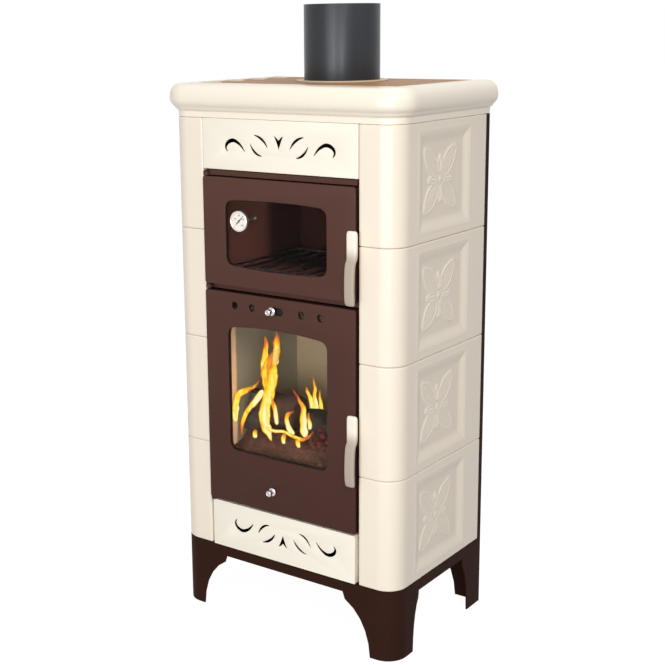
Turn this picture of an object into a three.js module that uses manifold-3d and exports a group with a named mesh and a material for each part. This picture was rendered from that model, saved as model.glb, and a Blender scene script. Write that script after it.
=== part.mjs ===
// A tiled wood stove: glazed corner tiles and a glazed crown round a steel fire chamber, a baking oven over
// the firebox, two windowed doors with lever handles, and a leg frame cut from sheet.
// Millimetres. X runs to the right, Y to the back and Z up. The floor is z = 0. While the pieces are built,
// y = 0 is the front face of the tiles; the finished group is moved so that its box is centred on the origin.
import * as THREE from "three";
import { mergeVertices } from "three/addons/utils/BufferGeometryUtils.js";
import Module from "manifold-3d";

const wasm = await Module();
wasm.setup();

// ---- Driving dimensions: body --------------------------------------------------------------------------
const bodyWidth = 525;
const baseHeight = 144; // floor to the underside of the tiles
const tileRows = 4;
const tilePitch = 220; // height of a tile with its joint
const tileJoint = 0.6;
const tileWall = 14;
const tileFrontLeg = 81.5; // width of a corner tile on the front
const tileDepth = 330; // length of a corner tile on the side
const tileCornerRadius = 42;
const tileEdge = 1.6; // small round on every edge of a tile
const crownHeight = 64;
const crownBulge = 17; // how far the bullnose stands out
const crownWall = 18;
const crownLedge = 41; // width of the crown's flat top at the front
const crownSideLedge = 28;
const crownLip = 8; // rebate that carries the cover
const backPanDepth = 12;
const sheet = 2; // thin steel sheet
const plate = 3; // thick steel plate
const clearance = 0.3; // between pieces that rest on each other
const panelGap = 0.6; // between enamelled panels and their neighbours

// ---- Driving dimensions: legs --------------------------------------------------------------------------
const apronHeight = 22;
const footWidth = 55.5; // width of a foot on the front
const legWidth = 118.5; // width of a leg where it meets the apron, on the front
const sideFootWidth = 69; // the same two on the side, for the front leg
const sideLegWidth = 90;
const backFootWidth = 53; // and for the back leg
const backLegWidth = 76;
const kneeRise = 0.88; // height of the step under the apron, as a share of the opening
const kneeShare = 0.08; // width of that step, as a share of how far the leg spreads
const footBend = [0.03, 0.4]; // where a leg's edge is pulled to, near the foot and near the step
const kneeBend = [0.35, 0.72];

// ---- Driving dimensions: front -------------------------------------------------------------------------
const doorSeam = 3.6; // gap between a door and the tiles
const doorProud = 6.8; // how far the door faces stand in front of the tiles
const doorDepth = 24.3;
const doorPlate = 5;
const doorCorner = 5;
const doorFrameGap = 2; // between the doors' backs and the front frame
const bottomPanelHeight = 98.4;
const bottomPanelGap = 7; // between the bottom panel and the tiles
const bottomPanelProud = 2.6;
const topPanelGap = 1.5;
const panelFaceSheet = 2.5;
const panelEdge = 0.6; // small round along a panel's face
const lowerGap = 5; // bottom panel to fire door
const fireDoorHeight = 438;
const doorsGap = 13;
const ovenDoorHeight = 212.5;
const railGap = 14; // oven door to top panel
const railRecess = 3; // the upper rail's face behind the tiles' front
const middleRailRecess = 9;
const railReveal = 2; // between a rail and the panel or door next to it
const panelOpeningInset = 18; // panel edge to the edge of the frame's opening behind it

// ---- Driving dimensions: windows -----------------------------------------------------------------------
const leftStile = 54.9; // door's left edge to its window
const rightStile = 62.9;
const ovenWindowLow = 42.3; // above the oven door's lower edge
const ovenWindowHigh = 167.3;
const ovenWindowBow = 5;
const fireWindowLow = 114.5; // above the fire door's lower edge
const fireWindowHigh = 366.4;
const fireWindowBow = 8;
const fireWindowSag = 2; // bow of its lower edge
const windowCorner = 15;
const glassThickness = 4;
const glassMargin = 9.5;

// ---- Driving dimensions: hinges, seals and latches -----------------------------------------------------
const pinRadius = 3;
const pinInset = 5.4; // pin axis from the door's left edge
const pinSetback = 5.8; // pin axis behind the door's face
const pinBoreDepth = 12;
const runningGap = 0.4;
const rimWidth = 14.4; // solid rim at the doors' sides
const rimHeight = 4.5; // solid rim along their top and bottom
const ropeWidth = 7;
const lipWidth = 3;
const spindleInset = 5.4; // latch spindle from the door's right edge
const spindleRadius = 4;
const leverLength = 137.4;
const leverWidth = 18.5;
const leverThickness = 6.5;
const leverBow = 8.5; // how far the lever bows out from its head
const leverReturn = 1.8; // how far its end comes back
const headWidth = 21.3;
const headHeight = 57;
const headThickness = 9.3;
const headOverhang = 7.9; // how far a handle's head reaches past the door's edge
const ovenHandleTop = 134; // above the oven door's lower edge
const fireHandleTop = 237.5; // above the fire door's lower edge
const spindleDrop = 25; // spindle below the handle's top
const camReach = 9;
const camThickness = 6;
const camOffset = 2; // the cam's middle beside the spindle
const latchBoxDepth = 11; // behind the front frame
const camGap = 1.2; // side room that lets the cam swing past its keeper

// ---- Driving dimensions: air controls ------------------------------------------------------------------
const airHoleRadius = 7.3;
const airHoleHeight = 412.7; // above the fire door's lower edge
const airHoles = [-104.4, -61.7, 55.4, 99.1];
const airSlotLeft = -18;
const airSlotRight = 13.7;
const airSlideHalf = 118;
const airSlideHeight = 20.4;
const knobRadius = 6.3;
const knobReach = 17; // how far a knob stands out from the door
const secondaryKnobX = -11.5;
const primaryKnobX = -15.8;
const primaryKnobHeight = 45.5; // above the fire door's lower edge
const damperRadius = 23;

// ---- Driving dimensions: chamber -----------------------------------------------------------------------
const chamberGap = 3; // chamber's inner face outside the doors' inner lip
const brick = 29.7;
const fireboxDepth = 264.5; // front of the tiles to the back brick's face
const ashPanHeight = 56;
const ashPanHeadroom = 12;
const fireFloorPlate = 4;
const grateThickness = 8;
const smokeGap = 48; // between the bricks' top and the oven, for the smoke
const bafflePlate = 12;
const ovenDepth = 285;
const smokeFront = 60; // front wall of the smoke space behind the top panel
const coverDrop = 1; // the cover below the crown's top
const roofDrop = 28; // chamber roof below the cover
const flueRadius = 75;
const flueWall = 2.5;
const flueBack = 219; // flue axis behind the front of the tiles
const flueHeight = 148; // pipe above the cover
const collarWidth = 15.5;
const collarHeight = 3;
const collarSeat = 0.4; // how far the collar is let into the cover

// ---- Driving dimensions: thermometer -------------------------------------------------------------------
const thermometerInset = 35; // its middle from the window's left edge
const thermometerHeight = 130; // above the oven door's lower edge
const bezelRadius = 20.5;
const bezelDepth = 9;
const probeLength = 46;

// ---- Driving dimensions: scrolls in the vent panels ----------------------------------------------------
// Places from the middle of a panel, on its right-hand side.
const spearMarks = [[0, 12], [11, 20.5], [5.5, 11], [3, 3], [0, -7], [-3, 3], [-5.5, 11], [-11, 20.5]];
const hookMarks = [[80, -12], [92, 1], [107, 8], [120, 4], [126, -5], [122, -14]];
const upperSlashMarks = [[26, -3], [36, 16], [57, 20]];
const lowerSlashMarks = [[40, -19], [58, -17], [67, 3]];
const strokeTip = 0.8; // half width of a stroke at its ends
const hookSwell = 2.7; // how much its half width grows
const slashSwell = 1.3;
const scrollMiddle = 3; // the pattern's middle, right of the panel's
const lowerScrollRise = 3.5; // the lower panel's pattern above the panel's middle
const lowerScrollGather = 6; // its left-hand scrolls nearer the middle

// ---- Worked-out places ---------------------------------------------------------------------------------
const halfWidth = bodyWidth / 2;
const seam = halfWidth - tileFrontLeg;
const backFace = tileDepth + backPanDepth;
const crownBottom = baseHeight + tileRows * tilePitch;
const crownTop = crownBottom + crownHeight;
const coverTop = crownTop - coverDrop;
const coverBottom = coverTop - plate;
const roofTop = coverTop - roofDrop;

const doorHalf = seam - doorSeam;
const topPanelHalf = seam - topPanelGap;
const bottomPanelHalf = seam - bottomPanelGap;
const chamberHalf = doorHalf - rimWidth - ropeWidth - lipWidth - chamberGap; // inner half of the chamber
const windowLeft = leftStile - doorHalf;
const windowRight = doorHalf - rightStile;
const thermometerX = windowLeft + thermometerInset;
const doorFace = -doorProud;
const doorBack = doorFace + doorDepth;
const leafBack = doorFace + doorPlate; // rear of a door's face plate
const frameFront = doorBack + doorFrameGap;
const frameBack = frameFront + plate;
const bottomPanelLow = baseHeight + panelGap;
const bottomPanelHigh = bottomPanelLow + bottomPanelHeight;
const fireDoorLow = bottomPanelHigh + lowerGap;
const fireDoorHigh = fireDoorLow + fireDoorHeight;
const ovenDoorLow = fireDoorHigh + doorsGap;
const ovenDoorHigh = ovenDoorLow + ovenDoorHeight;
const topPanelLow = ovenDoorHigh + railGap;
const topPanelHigh = crownBottom - panelGap;

const pinX = pinInset - doorHalf;
const pinY = doorFace + pinSetback;
const spindleX = doorHalf - spindleInset;
const lipInset = rimHeight + ropeWidth + lipWidth;
const openingInset = lipInset + chamberGap / 2; // door edge to the edge of the opening behind it
const fireOpeningLow = fireDoorLow + openingInset;
const fireOpeningHigh = fireDoorHigh - openingInset;
const ovenOpeningLow = ovenDoorLow + openingInset;
const ovenOpeningHigh = ovenDoorHigh - openingInset;

const chamberSide = chamberHalf + brick + clearance; // inner face of the side walls
const chamberBack = fireboxDepth + brick + clearance;
const chamberFront = frameBack + clearance;
const ashFloorTop = fireOpeningLow + sheet;
const fireFloorLow = ashFloorTop + ashPanHeight + ashPanHeadroom;
const fireFloorTop = fireFloorLow + fireFloorPlate;
const grateTop = fireFloorTop + clearance + grateThickness;
const ovenUnder = ovenOpeningLow - plate;
const brickTop = ovenUnder - smokeGap;

// ---- Materials -----------------------------------------------------------------------------------------
const finish = (color, roughness, metalness) =>
  new THREE.MeshStandardMaterial({ color, roughness, metalness });
const creamGlaze = finish(0xfbf1dd, 0.25, 0);
const creamEnamel = finish(0xfdf3df, 0.35, 0);
const brownEnamel = finish(0x5a3d35, 0.45, 0.1);
const baseEnamel = finish(0x3c2620, 0.5, 0.1);
const pipePaint = finish(0x4a4b50, 0.45, 0.3);
const blackSteel = finish(0x2b2a29, 0.7, 0.5);
const castIron = finish(0x35332f, 0.75, 0.6);
const brightMetal = finish(0xc9c9cc, 0.2, 1);
const fireClay = finish(0x9a917d, 0.9, 0);
const ropeSeal = finish(0x4d4a45, 0.95, 0);
const dialWhite = finish(0xf4f3ee, 0.5, 0);
const dialBlack = finish(0x151515, 0.4, 0);
const clearGlass = new THREE.MeshStandardMaterial({
  color: 0x6b6458,
  roughness: 0.05,
  metalness: 0,
  transparent: true,
  opacity: 0.35,
});

// ---- Booleans ------------------------------------------------------------------------------------------
const samePlace = 1e-4; // corners closer than this are one

// A closed geometry as a solid that can be joined and cut.
function toSolid(geometry) {
  const bare = geometry.clone();
  bare.deleteAttribute("normal");
  bare.deleteAttribute("uv");
  const merged = mergeVertices(bare, samePlace);
  return new wasm.Manifold(
    new wasm.Mesh({
      numProp: 3,
      vertProperties: new Float32Array(merged.attributes.position.array),
      triVerts: new Uint32Array(merged.index.array),
    }),
  );
}

function toGeometry(solid) {
  const mesh = solid.getMesh();
  const geometry = new THREE.BufferGeometry();
  geometry.setAttribute("position", new THREE.BufferAttribute(mesh.vertProperties, 3));
  geometry.setIndex(new THREE.BufferAttribute(mesh.triVerts, 1));
  geometry.computeVertexNormals();
  return geometry;
}

const join = (...pieces) => toGeometry(pieces.map(toSolid).reduce((whole, piece) => whole.add(piece)));

const cut = (body, ...tools) =>
  toGeometry(tools.map(toSolid).reduce((rest, tool) => rest.subtract(tool), toSolid(body)));

// ---- Basic forms ---------------------------------------------------------------------------------------
function box(x0, x1, y0, y1, z0, z1) {
  const geometry = new THREE.BoxGeometry(x1 - x0, y1 - y0, z1 - z0);
  return geometry.translate((x0 + x1) / 2, (y0 + y1) / 2, (z0 + z1) / 2);
}

// An outline pulled to a depth, with the same small bevel on its front, back and holes.
function slab(outline, depth, bevel = 0, curveSegments = 3) {
  const geometry = new THREE.ExtrudeGeometry(outline, {
    depth: depth - 2 * bevel,
    curveSegments,
    bevelEnabled: bevel > 0,
    bevelThickness: bevel,
    bevelSize: bevel,
    bevelOffset: -bevel,
    bevelSegments: 1,
  });
  return geometry.translate(0, 0, bevel);
}

const axisX = new THREE.Vector3(1, 0, 0);
const axisY = new THREE.Vector3(0, 1, 0);
const axisZ = new THREE.Vector3(0, 0, 1);
const frontal = new THREE.Matrix4().makeBasis(axisX, axisZ, axisY.clone().negate());
const lateral = new THREE.Matrix4().makeBasis(axisY, axisZ, axisX);

// An outline drawn as seen from the front (x, z), filling y0 to y1.
const frontSlab = (outline, y0, y1, bevel, steps) =>
  slab(outline, y1 - y0, bevel, steps).applyMatrix4(frontal).translate(0, y1, 0);

// An outline drawn as seen from the side (y, z), filling x0 to x1.
const sideSlab = (outline, x0, x1, bevel, steps) =>
  slab(outline, x1 - x0, bevel, steps).applyMatrix4(lateral).translate(x0, 0, 0);

// An outline drawn as seen from above (x, y), filling z0 to z1.
const topSlab = (outline, z0, z1, bevel, steps) => slab(outline, z1 - z0, bevel, steps).translate(0, 0, z0);

// A turned piece: [radius, distance] pairs along an axis that points to the back, from a start point.
function turned(profile, x, y, z, segments) {
  const points = profile.map(([radius, along]) => new THREE.Vector2(radius, along));
  return new THREE.LatheGeometry(points, segments).translate(x, y, z);
}

const rodSegments = 12;
const boreSegments = 16;
const overcut = 1; // how far a cutting tool reaches past what it cuts

const rodAlongY = (radius, x, y0, y1, z, segments = rodSegments) =>
  turned([[0, 0], [radius, 0], [radius, y1 - y0], [0, y1 - y0]], x, y0, z, segments);

const rodAlongZ = (radius, x, y, z0, z1, segments = rodSegments) =>
  turned([[0, 0], [radius, 0], [radius, z1 - z0], [0, z1 - z0]], 0, 0, 0, segments)
    .rotateX(Math.PI / 2)
    .translate(x, y, z0);

// A flat ring or tube about an upright axis.
const ringAlongZ = (inner, outer, x, y, z0, z1, segments) =>
  turned([[inner, 0], [outer, 0], [outer, z1 - z0], [inner, z1 - z0], [inner, 0]], 0, 0, 0, segments)
    .rotateX(Math.PI / 2)
    .translate(x, y, z0);

// The other side's copy of a piece, with its faces turned back out.
function mirrored(geometry) {
  const copy = (geometry.index ? geometry.toNonIndexed() : geometry.clone()).scale(-1, 1, 1);
  const position = copy.attributes.position;
  for (let i = 0; i < position.count; i += 3) {
    const corner = new THREE.Vector3().fromBufferAttribute(position, i + 1);
    const last = new THREE.Vector3().fromBufferAttribute(position, i + 2);
    position.setXYZ(i + 1, last.x, last.y, last.z);
    position.setXYZ(i + 2, corner.x, corner.y, corner.z);
  }
  return copy;
}

// A solid through a stack of outlines that have the same number of points.
function stacked(sections) {
  const count = sections[0].outline.length;
  const positions = sections.flatMap(({ outline, z }) => outline.flatMap((point) => [point.x, point.y, z]));
  const faces = [];
  for (let level = 0; level + 1 < sections.length; level += 1) {
    for (let i = 0; i < count; i += 1) {
      const next = (i + 1) % count;
      const low = level * count;
      const high = low + count;
      faces.push(low + i, low + next, high + next, low + i, high + next, high + i);
    }
  }
  const top = (sections.length - 1) * count;
  const lowerCap = THREE.ShapeUtils.triangulateShape(sections[0].outline, []);
  const upperCap = THREE.ShapeUtils.triangulateShape(sections[sections.length - 1].outline, []);
  lowerCap.forEach(([a, b, c]) => faces.push(a, c, b));
  upperCap.forEach(([a, b, c]) => faces.push(top + a, top + b, top + c));
  const geometry = new THREE.BufferGeometry();
  geometry.setAttribute("position", new THREE.Float32BufferAttribute(positions, 3));
  geometry.setIndex(faces);
  return geometry;
}

// ---- Outlines ------------------------------------------------------------------------------------------
const quarter = Math.PI / 2;

function roundedRectangle(x0, x1, z0, z1, radius, Kind = THREE.Shape) {
  const outline = new Kind();
  outline.moveTo(x0 + radius, z0);
  outline.lineTo(x1 - radius, z0);
  outline.absarc(x1 - radius, z0 + radius, radius, -quarter, 0, false);
  outline.absarc(x1 - radius, z1 - radius, radius, 0, quarter, false);
  outline.absarc(x0 + radius, z1 - radius, radius, quarter, 2 * quarter, false);
  outline.absarc(x0 + radius, z0 + radius, radius, 2 * quarter, 3 * quarter, false);
  outline.closePath();
  return outline;
}

function rectangle(x0, x1, z0, z1, Kind = THREE.Shape) {
  return new Kind([
    new THREE.Vector2(x0, z0),
    new THREE.Vector2(x1, z0),
    new THREE.Vector2(x1, z1),
    new THREE.Vector2(x0, z1),
  ]);
}

function circle(x, z, radius, Kind = THREE.Path) {
  const outline = new Kind();
  outline.absarc(x, z, radius, 0, 2 * Math.PI, false);
  return outline;
}

const bowAtCorner = 0.35; // share of the bow that a window's edge has where its corner starts

// A window with round corners whose upper and lower edges bow outwards.
function windowOutline(low, high, lowBow, highBow, grow = 0, Kind = THREE.Path) {
  const x0 = windowLeft - grow;
  const x1 = windowRight + grow;
  const z0 = low - grow;
  const z1 = high + grow;
  const corner = windowCorner + grow;
  const middle = (x0 + x1) / 2;
  const lowEnd = z0 - lowBow * bowAtCorner;
  const highEnd = z1 + highBow * bowAtCorner;
  const outline = new Kind();
  outline.moveTo(x0, z0 + corner);
  outline.quadraticCurveTo(x0, z0, x0 + corner, lowEnd);
  outline.quadraticCurveTo(middle, z0 - lowBow * (2 - bowAtCorner), x1 - corner, lowEnd);
  outline.quadraticCurveTo(x1, z0, x1, z0 + corner);
  outline.lineTo(x1, z1 - corner);
  outline.quadraticCurveTo(x1, z1, x1 - corner, highEnd);
  outline.quadraticCurveTo(middle, z1 + highBow * (2 - bowAtCorner), x0 + corner, highEnd);
  outline.quadraticCurveTo(x0, z1, x0, z1 - corner);
  outline.closePath();
  return outline;
}

// A brush stroke: a curve with a width that changes from its start to its end.
function stroke(curve, halfWidthAt, steps) {
  const left = [];
  const right = [];
  for (let i = 0; i <= steps; i += 1) {
    const t = i / steps;
    const point = curve.getPoint(t);
    const along = curve.getTangent(t);
    const across = new THREE.Vector2(-along.y, along.x).multiplyScalar(halfWidthAt(t));
    left.push(point.clone().add(across));
    right.push(point.clone().sub(across));
  }
  return [...right, ...left.reverse()];
}

const cornerSteps = 7;

// The body's plan: square at the back and round at the front corners, counter-clockwise from the back.
function bodyPlan(outset, front = -outset, back = backFace) {
  const side = halfWidth + outset;
  const radius = Math.max(tileCornerRadius + outset, 1);
  const points = [new THREE.Vector2(side, back), new THREE.Vector2(-side, back)];
  for (let i = 0; i <= cornerSteps; i += 1) {
    const angle = Math.PI + (quarter * i) / cornerSteps;
    points.push(
      new THREE.Vector2(radius - side + radius * Math.cos(angle), front + radius + radius * Math.sin(angle)),
    );
  }
  for (let i = 0; i <= cornerSteps; i += 1) {
    const angle = 3 * quarter + (quarter * i) / cornerSteps;
    points.push(
      new THREE.Vector2(side - radius + radius * Math.cos(angle), front + radius + radius * Math.sin(angle)),
    );
  }
  return points;
}

const bodyBlock = (outset, z0, z1, back) =>
  stacked([
    { outline: bodyPlan(outset, -outset, back), z: z0 },
    { outline: bodyPlan(outset, -outset, back), z: z1 },
  ]);

// ---- Base ----------------------------------------------------------------------------------------------
const basePlateLow = baseHeight - clearance - plate;
const baseTop = basePlateLow - clearance;
const apronLow = baseTop - apronHeight + plate;
const legSteps = 5;

// One edge of the opening between two legs, from its foot up to a small step under the apron.
const legEdge = (foot, leg) => [
  new THREE.Vector2(foot - (foot - leg) * footBend[0], apronLow * footBend[1]),
  new THREE.Vector2(foot - (foot - leg) * kneeBend[0], apronLow * kneeBend[1]),
  new THREE.Vector2(leg + (foot - leg) * kneeShare, apronLow * kneeRise),
];

function legOpening(footLeft, legLeft, legRight, footRight) {
  const left = legEdge(footLeft, legLeft);
  const right = legEdge(footRight, legRight);
  const outline = new THREE.Shape();
  outline.moveTo(footLeft, -overcut);
  outline.lineTo(footRight, -overcut);
  outline.lineTo(footRight, 0);
  outline.bezierCurveTo(right[0].x, right[0].y, right[1].x, right[1].y, right[2].x, right[2].y);
  outline.lineTo(legRight, apronLow);
  outline.lineTo(legLeft, apronLow);
  outline.lineTo(left[2].x, left[2].y);
  outline.bezierCurveTo(left[1].x, left[1].y, left[0].x, left[0].y, footLeft, 0);
  outline.closePath();
  return outline;
}

// The base: an apron and four legs in one sheet that is bent round the body's plan.
function baseFrame() {
  const footHalf = halfWidth - footWidth;
  const legHalf = halfWidth - legWidth;
  const frontOpening = legOpening(-footHalf, -legHalf, legHalf, footHalf);
  const sideOpening = legOpening(
    sideFootWidth, sideLegWidth, backFace - backLegWidth, backFace - backFootWidth,
  );
  const shell = cut(
    bodyBlock(0, 0, baseTop),
    bodyBlock(-plate, -overcut, baseTop + overcut, backFace - plate),
  );
  return cut(
    shell,
    frontSlab(frontOpening, -overcut, backFace + overcut, 0, legSteps),
    sideSlab(sideOpening, -halfWidth - overcut, halfWidth + overcut, 0, legSteps),
  );
}

const basePlate = () => bodyBlock(0, basePlateLow, basePlateLow + plate);

// ---- Corner tiles --------------------------------------------------------------------------------------
const reliefFront = 74; // front edge of the sunk field on the tile's side
const reliefBack = 265;
const reliefLow = 18;
const reliefHigh = 203;
const reliefBevel = 22;
const reliefDepth = 6;
const leafInner = 11;
const leafOuter = 84;
const leafHalf = 15;
const leafHeight = 3.4; // above the field's floor
const budOuter = 34;
const budHalf = 6;
const budHeight = 2.4;
const leafTip = 0.6; // half width of a leaf at its points
const leafLean = 0.85; // below 1, the widest place lies nearer the middle of the field
const leafCrest = 0.45; // width of its crest, as a share of its foot
const leafSteps = 4;
const budSteps = 2;
const bossFoot = 9;
const bossTop = 5;
const bossHeight = 4;
const bossSides = 8;
const tileSteps = 3;

// The plan of a right-hand corner tile: front leg, round corner, side leg, and the same again inside.
function tilePlan() {
  const radius = tileCornerRadius;
  const inner = halfWidth - tileWall;
  const outline = new THREE.Shape();
  outline.moveTo(seam, 0);
  outline.lineTo(halfWidth - radius, 0);
  outline.absarc(halfWidth - radius, radius, radius, -quarter, 0, false);
  outline.lineTo(halfWidth, tileDepth);
  outline.lineTo(inner, tileDepth);
  outline.lineTo(inner, radius);
  outline.absarc(halfWidth - radius, radius, radius - tileWall, 0, -quarter, true);
  outline.lineTo(seam, tileWall);
  outline.closePath();
  return outline;
}

// The sunk field: a shallow tray with sloping sides, open to the tile's side face.
function sunkField() {
  const tray = (inset) => {
    const low = reliefLow + inset;
    const high = reliefHigh - inset;
    return [
      new THREE.Vector2(reliefFront + inset, low),
      new THREE.Vector2(reliefBack - inset, low),
      new THREE.Vector2(reliefBack - inset, high),
      new THREE.Vector2(reliefFront + inset, high),
    ];
  };
  return stacked([
    { outline: tray(reliefBevel), z: -reliefDepth },
    { outline: tray(-overcut * reliefBevel / reliefDepth), z: overcut },
  ]).applyMatrix4(lateral);
}

// A raised form on the field's floor, from its foot's outline to its crest's.
const raised = (foot, crest, height) =>
  stacked([
    { outline: foot, z: -reliefDepth - overcut },
    { outline: foot, z: -reliefDepth },
    { outline: crest, z: -reliefDepth + height },
  ]);

// A leaf that points away from the middle of the field: a pointed lens with sloping sides.
function leaf(outer, half, height, turn, steps) {
  const spine = new THREE.LineCurve(new THREE.Vector2(leafInner, 0), new THREE.Vector2(outer, 0));
  const lens = (share) =>
    stroke(spine, (t) => share * half * Math.sin(Math.PI * t ** leafLean) + leafTip, steps);
  return raised(lens(1), lens(leafCrest), height).rotateZ(turn);
}

function boss() {
  const ring = (radius) =>
    Array.from({ length: bossSides }, (_, i) =>
      new THREE.Vector2(radius, 0).rotateAround(new THREE.Vector2(), (i * 4 * quarter) / bossSides),
    );
  return raised(ring(bossFoot), ring(bossTop), bossHeight);
}

function cornerTile() {
  const body = topSlab(tilePlan(), 0, tilePitch - tileJoint, tileEdge, tileSteps);
  const leaves = [0, 1, 2, 3].flatMap((i) => [
    leaf(leafOuter, leafHalf, leafHeight, quarter * (i + 0.5), leafSteps),
    leaf(budOuter, budHalf, budHeight, quarter * i, budSteps),
  ]);
  const flower = [...leaves, boss()].map((form) =>
    form
      .translate((reliefFront + reliefBack) / 2, (reliefLow + reliefHigh) / 2, 0)
      .applyMatrix4(lateral)
      .translate(halfWidth, 0, 0),
  );
  return join(cut(body, sunkField().translate(halfWidth, 0, 0)), ...flower);
}

// ---- Crown and cover -----------------------------------------------------------------------------------
// The crown's section as [height share, outset share] from a flush band through a cove to the bullnose.
const crownSection = [
  [0, 0],
  [0.18, 0],
  [0.21, 0.16],
  [0.32, 0.5],
  [0.36, 0.72],
  [0.44, 0.9],
  [0.56, 1],
  [0.68, 0.97],
  [0.8, 0.82],
  [0.9, 0.58],
  [0.97, 0.3],
  [1, 0.05],
];

function crownSurround() {
  const coverSeat = coverBottom - clearance;
  const openingHalf = halfWidth - crownSideLedge;
  const body = stacked(
    crownSection.map(([rise, out]) => ({
      outline: bodyPlan(out * crownBulge),
      z: crownBottom + rise * crownHeight,
    })),
  );
  const hollow = bodyBlock(
    -crownWall, crownBottom - overcut, coverSeat - crownWall, backFace - crownWall,
  );
  const throat = box(
    crownLip - openingHalf, openingHalf - crownLip, crownLedge + crownLip, backFace + overcut,
    crownBottom - overcut, crownTop,
  );
  const rebate = box(
    -openingHalf, openingHalf, crownLedge, backFace + overcut, coverSeat, crownTop + overcut,
  );
  return cut(body, hollow, throat, rebate);
}

const coverHalf = halfWidth - crownSideLedge - panelGap;
const ventLength = 34;
const ventWidth = 12;
const ventPitch = 75;
const ventFront = 65;
const ventCount = 4;
const ventInset = 27.7; // the vents' middle inside the cover's left edge
const ventX = ventInset - coverHalf;
const ventWall = 2.5;
const ventRise = 2.4; // rims above the cover
const ventCorner = 3;
const coverFlueGap = 1.5;
const flueSegments = 28;

const ventPlaces = Array.from({ length: ventCount }, (_, i) => ventFront + i * ventPitch);

// The cover: a plate in the crown's rebate with a flange folded down behind it and a shallow round seat for
// the flue collar.
function topPlate() {
  const outline = rectangle(-coverHalf, coverHalf, crownLedge + panelGap, backFace);
  outline.holes.push(circle(0, flueBack, flueRadius + coverFlueGap));
  const room = ventWall + clearance;
  ventPlaces.forEach((y) =>
    outline.holes.push(
      rectangle(
        ventX - ventLength / 2 - room, ventX + ventLength / 2 + room,
        y - ventWidth / 2 - room, y + ventWidth / 2 + room, THREE.Path,
      ),
    ),
  );
  const flangeHalf = halfWidth - crownSideLedge - crownLip - panelGap;
  const flange = box(-flangeHalf, flangeHalf, backFace - sheet, backFace, crownBottom, coverBottom + overcut);
  const seat = rodAlongZ(
    flueRadius + collarWidth + clearance, 0, flueBack,
    coverTop - collarSeat, coverTop + overcut, flueSegments,
  );
  return cut(join(topSlab(outline, coverBottom, coverTop, 0, boreSegments), flange), seat);
}

// One strip under the cover with four rimmed slots that stand up through it.
function topVentGrille() {
  const halfLength = ventLength / 2 + ventWall;
  const stripLow = coverBottom - clearance - sheet;
  const strip = box(
    ventX - halfLength + clearance, ventX + halfLength - clearance,
    ventFront - ventWidth, ventPlaces[ventCount - 1] + ventWidth,
    stripLow, stripLow + sheet,
  );
  const rims = ventPlaces.map((y) =>
    topSlab(
      roundedRectangle(
        ventX - halfLength, ventX + halfLength,
        y - ventWidth / 2 - ventWall, y + ventWidth / 2 + ventWall, ventCorner,
      ),
      stripLow + sheet / 2, coverTop + ventRise, 0, 1,
    ),
  );
  const slots = ventPlaces.map((y) =>
    box(
      ventX - ventLength / 2, ventX + ventLength / 2,
      y - ventWidth / 2, y + ventWidth / 2, stripLow - overcut, coverTop + ventRise + overcut,
    ),
  );
  return cut(join(strip, ...rims), ...slots);
}

// ---- Flue ----------------------------------------------------------------------------------------------
const spigotOuter = flueRadius - flueWall - 2 * clearance;
const spigotInner = spigotOuter - plate;

const flueCollar = () =>
  ringAlongZ(
    flueRadius + clearance, flueRadius + collarWidth, 0, flueBack,
    coverTop - collarSeat + clearance, coverTop - collarSeat + clearance + collarHeight, flueSegments,
  );

const fluePipe = () =>
  ringAlongZ(
    flueRadius - flueWall, flueRadius, 0, flueBack,
    roofTop + clearance, coverTop + flueHeight, flueSegments,
  );

// ---- Enamelled vent panels -----------------------------------------------------------------------------
const vector = (x, z) => new THREE.Vector2(x, z);
const marked = (marks) => marks.map(([x, z]) => vector(x, z));
const hookSteps = 9;
const slashSteps = 5;

// All the scrolls of a panel: a spearhead in the middle and, on both sides, two slashes that face each other
// and a hooked crescent. The left-hand ones may stand nearer the middle.
function scrollCuts(middleX, middleZ, up, gather) {
  const place = (points, side) =>
    points.map((p) => vector(middleX + side * p.x + (side < 0 ? gather : 0), middleZ + up * p.y));
  const swell = (amount) => (t) => strokeTip + amount * Math.sin(Math.PI * t);
  const strokes = [
    stroke(new THREE.SplineCurve(marked(hookMarks)), swell(hookSwell), hookSteps),
    stroke(new THREE.QuadraticBezierCurve(...marked(upperSlashMarks)), swell(slashSwell), slashSteps),
    stroke(new THREE.QuadraticBezierCurve(...marked(lowerSlashMarks)), swell(slashSwell), slashSteps),
  ];
  return [
    place(marked(spearMarks), 1),
    ...strokes.map((points) => place(points, 1)),
    ...strokes.map((points) => place(points, -1)),
  ];
}

// A panel folded like a shallow tray, open at the back, with the scrolls cut in its face.
function ventPanel(half, low, high, face, up, rise = 0, gather = 0) {
  const front = frontSlab(rectangle(-half, half, low, high), face, face + panelFaceSheet, panelEdge);
  const scrolls = scrollCuts(scrollMiddle, (low + high) / 2 + rise, up, gather).map((points) =>
    frontSlab(new THREE.Shape(points), face - overcut, face + panelFaceSheet + overcut),
  );
  const foldedBack = frameFront - clearance;
  const rim = cut(
    box(-half, half, face + panelFaceSheet / 2, foldedBack, low, high),
    box(-half + sheet, half - sheet, face, foldedBack + overcut, low + sheet, high - sheet),
  );
  return cut(join(front, rim), ...scrolls);
}

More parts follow.
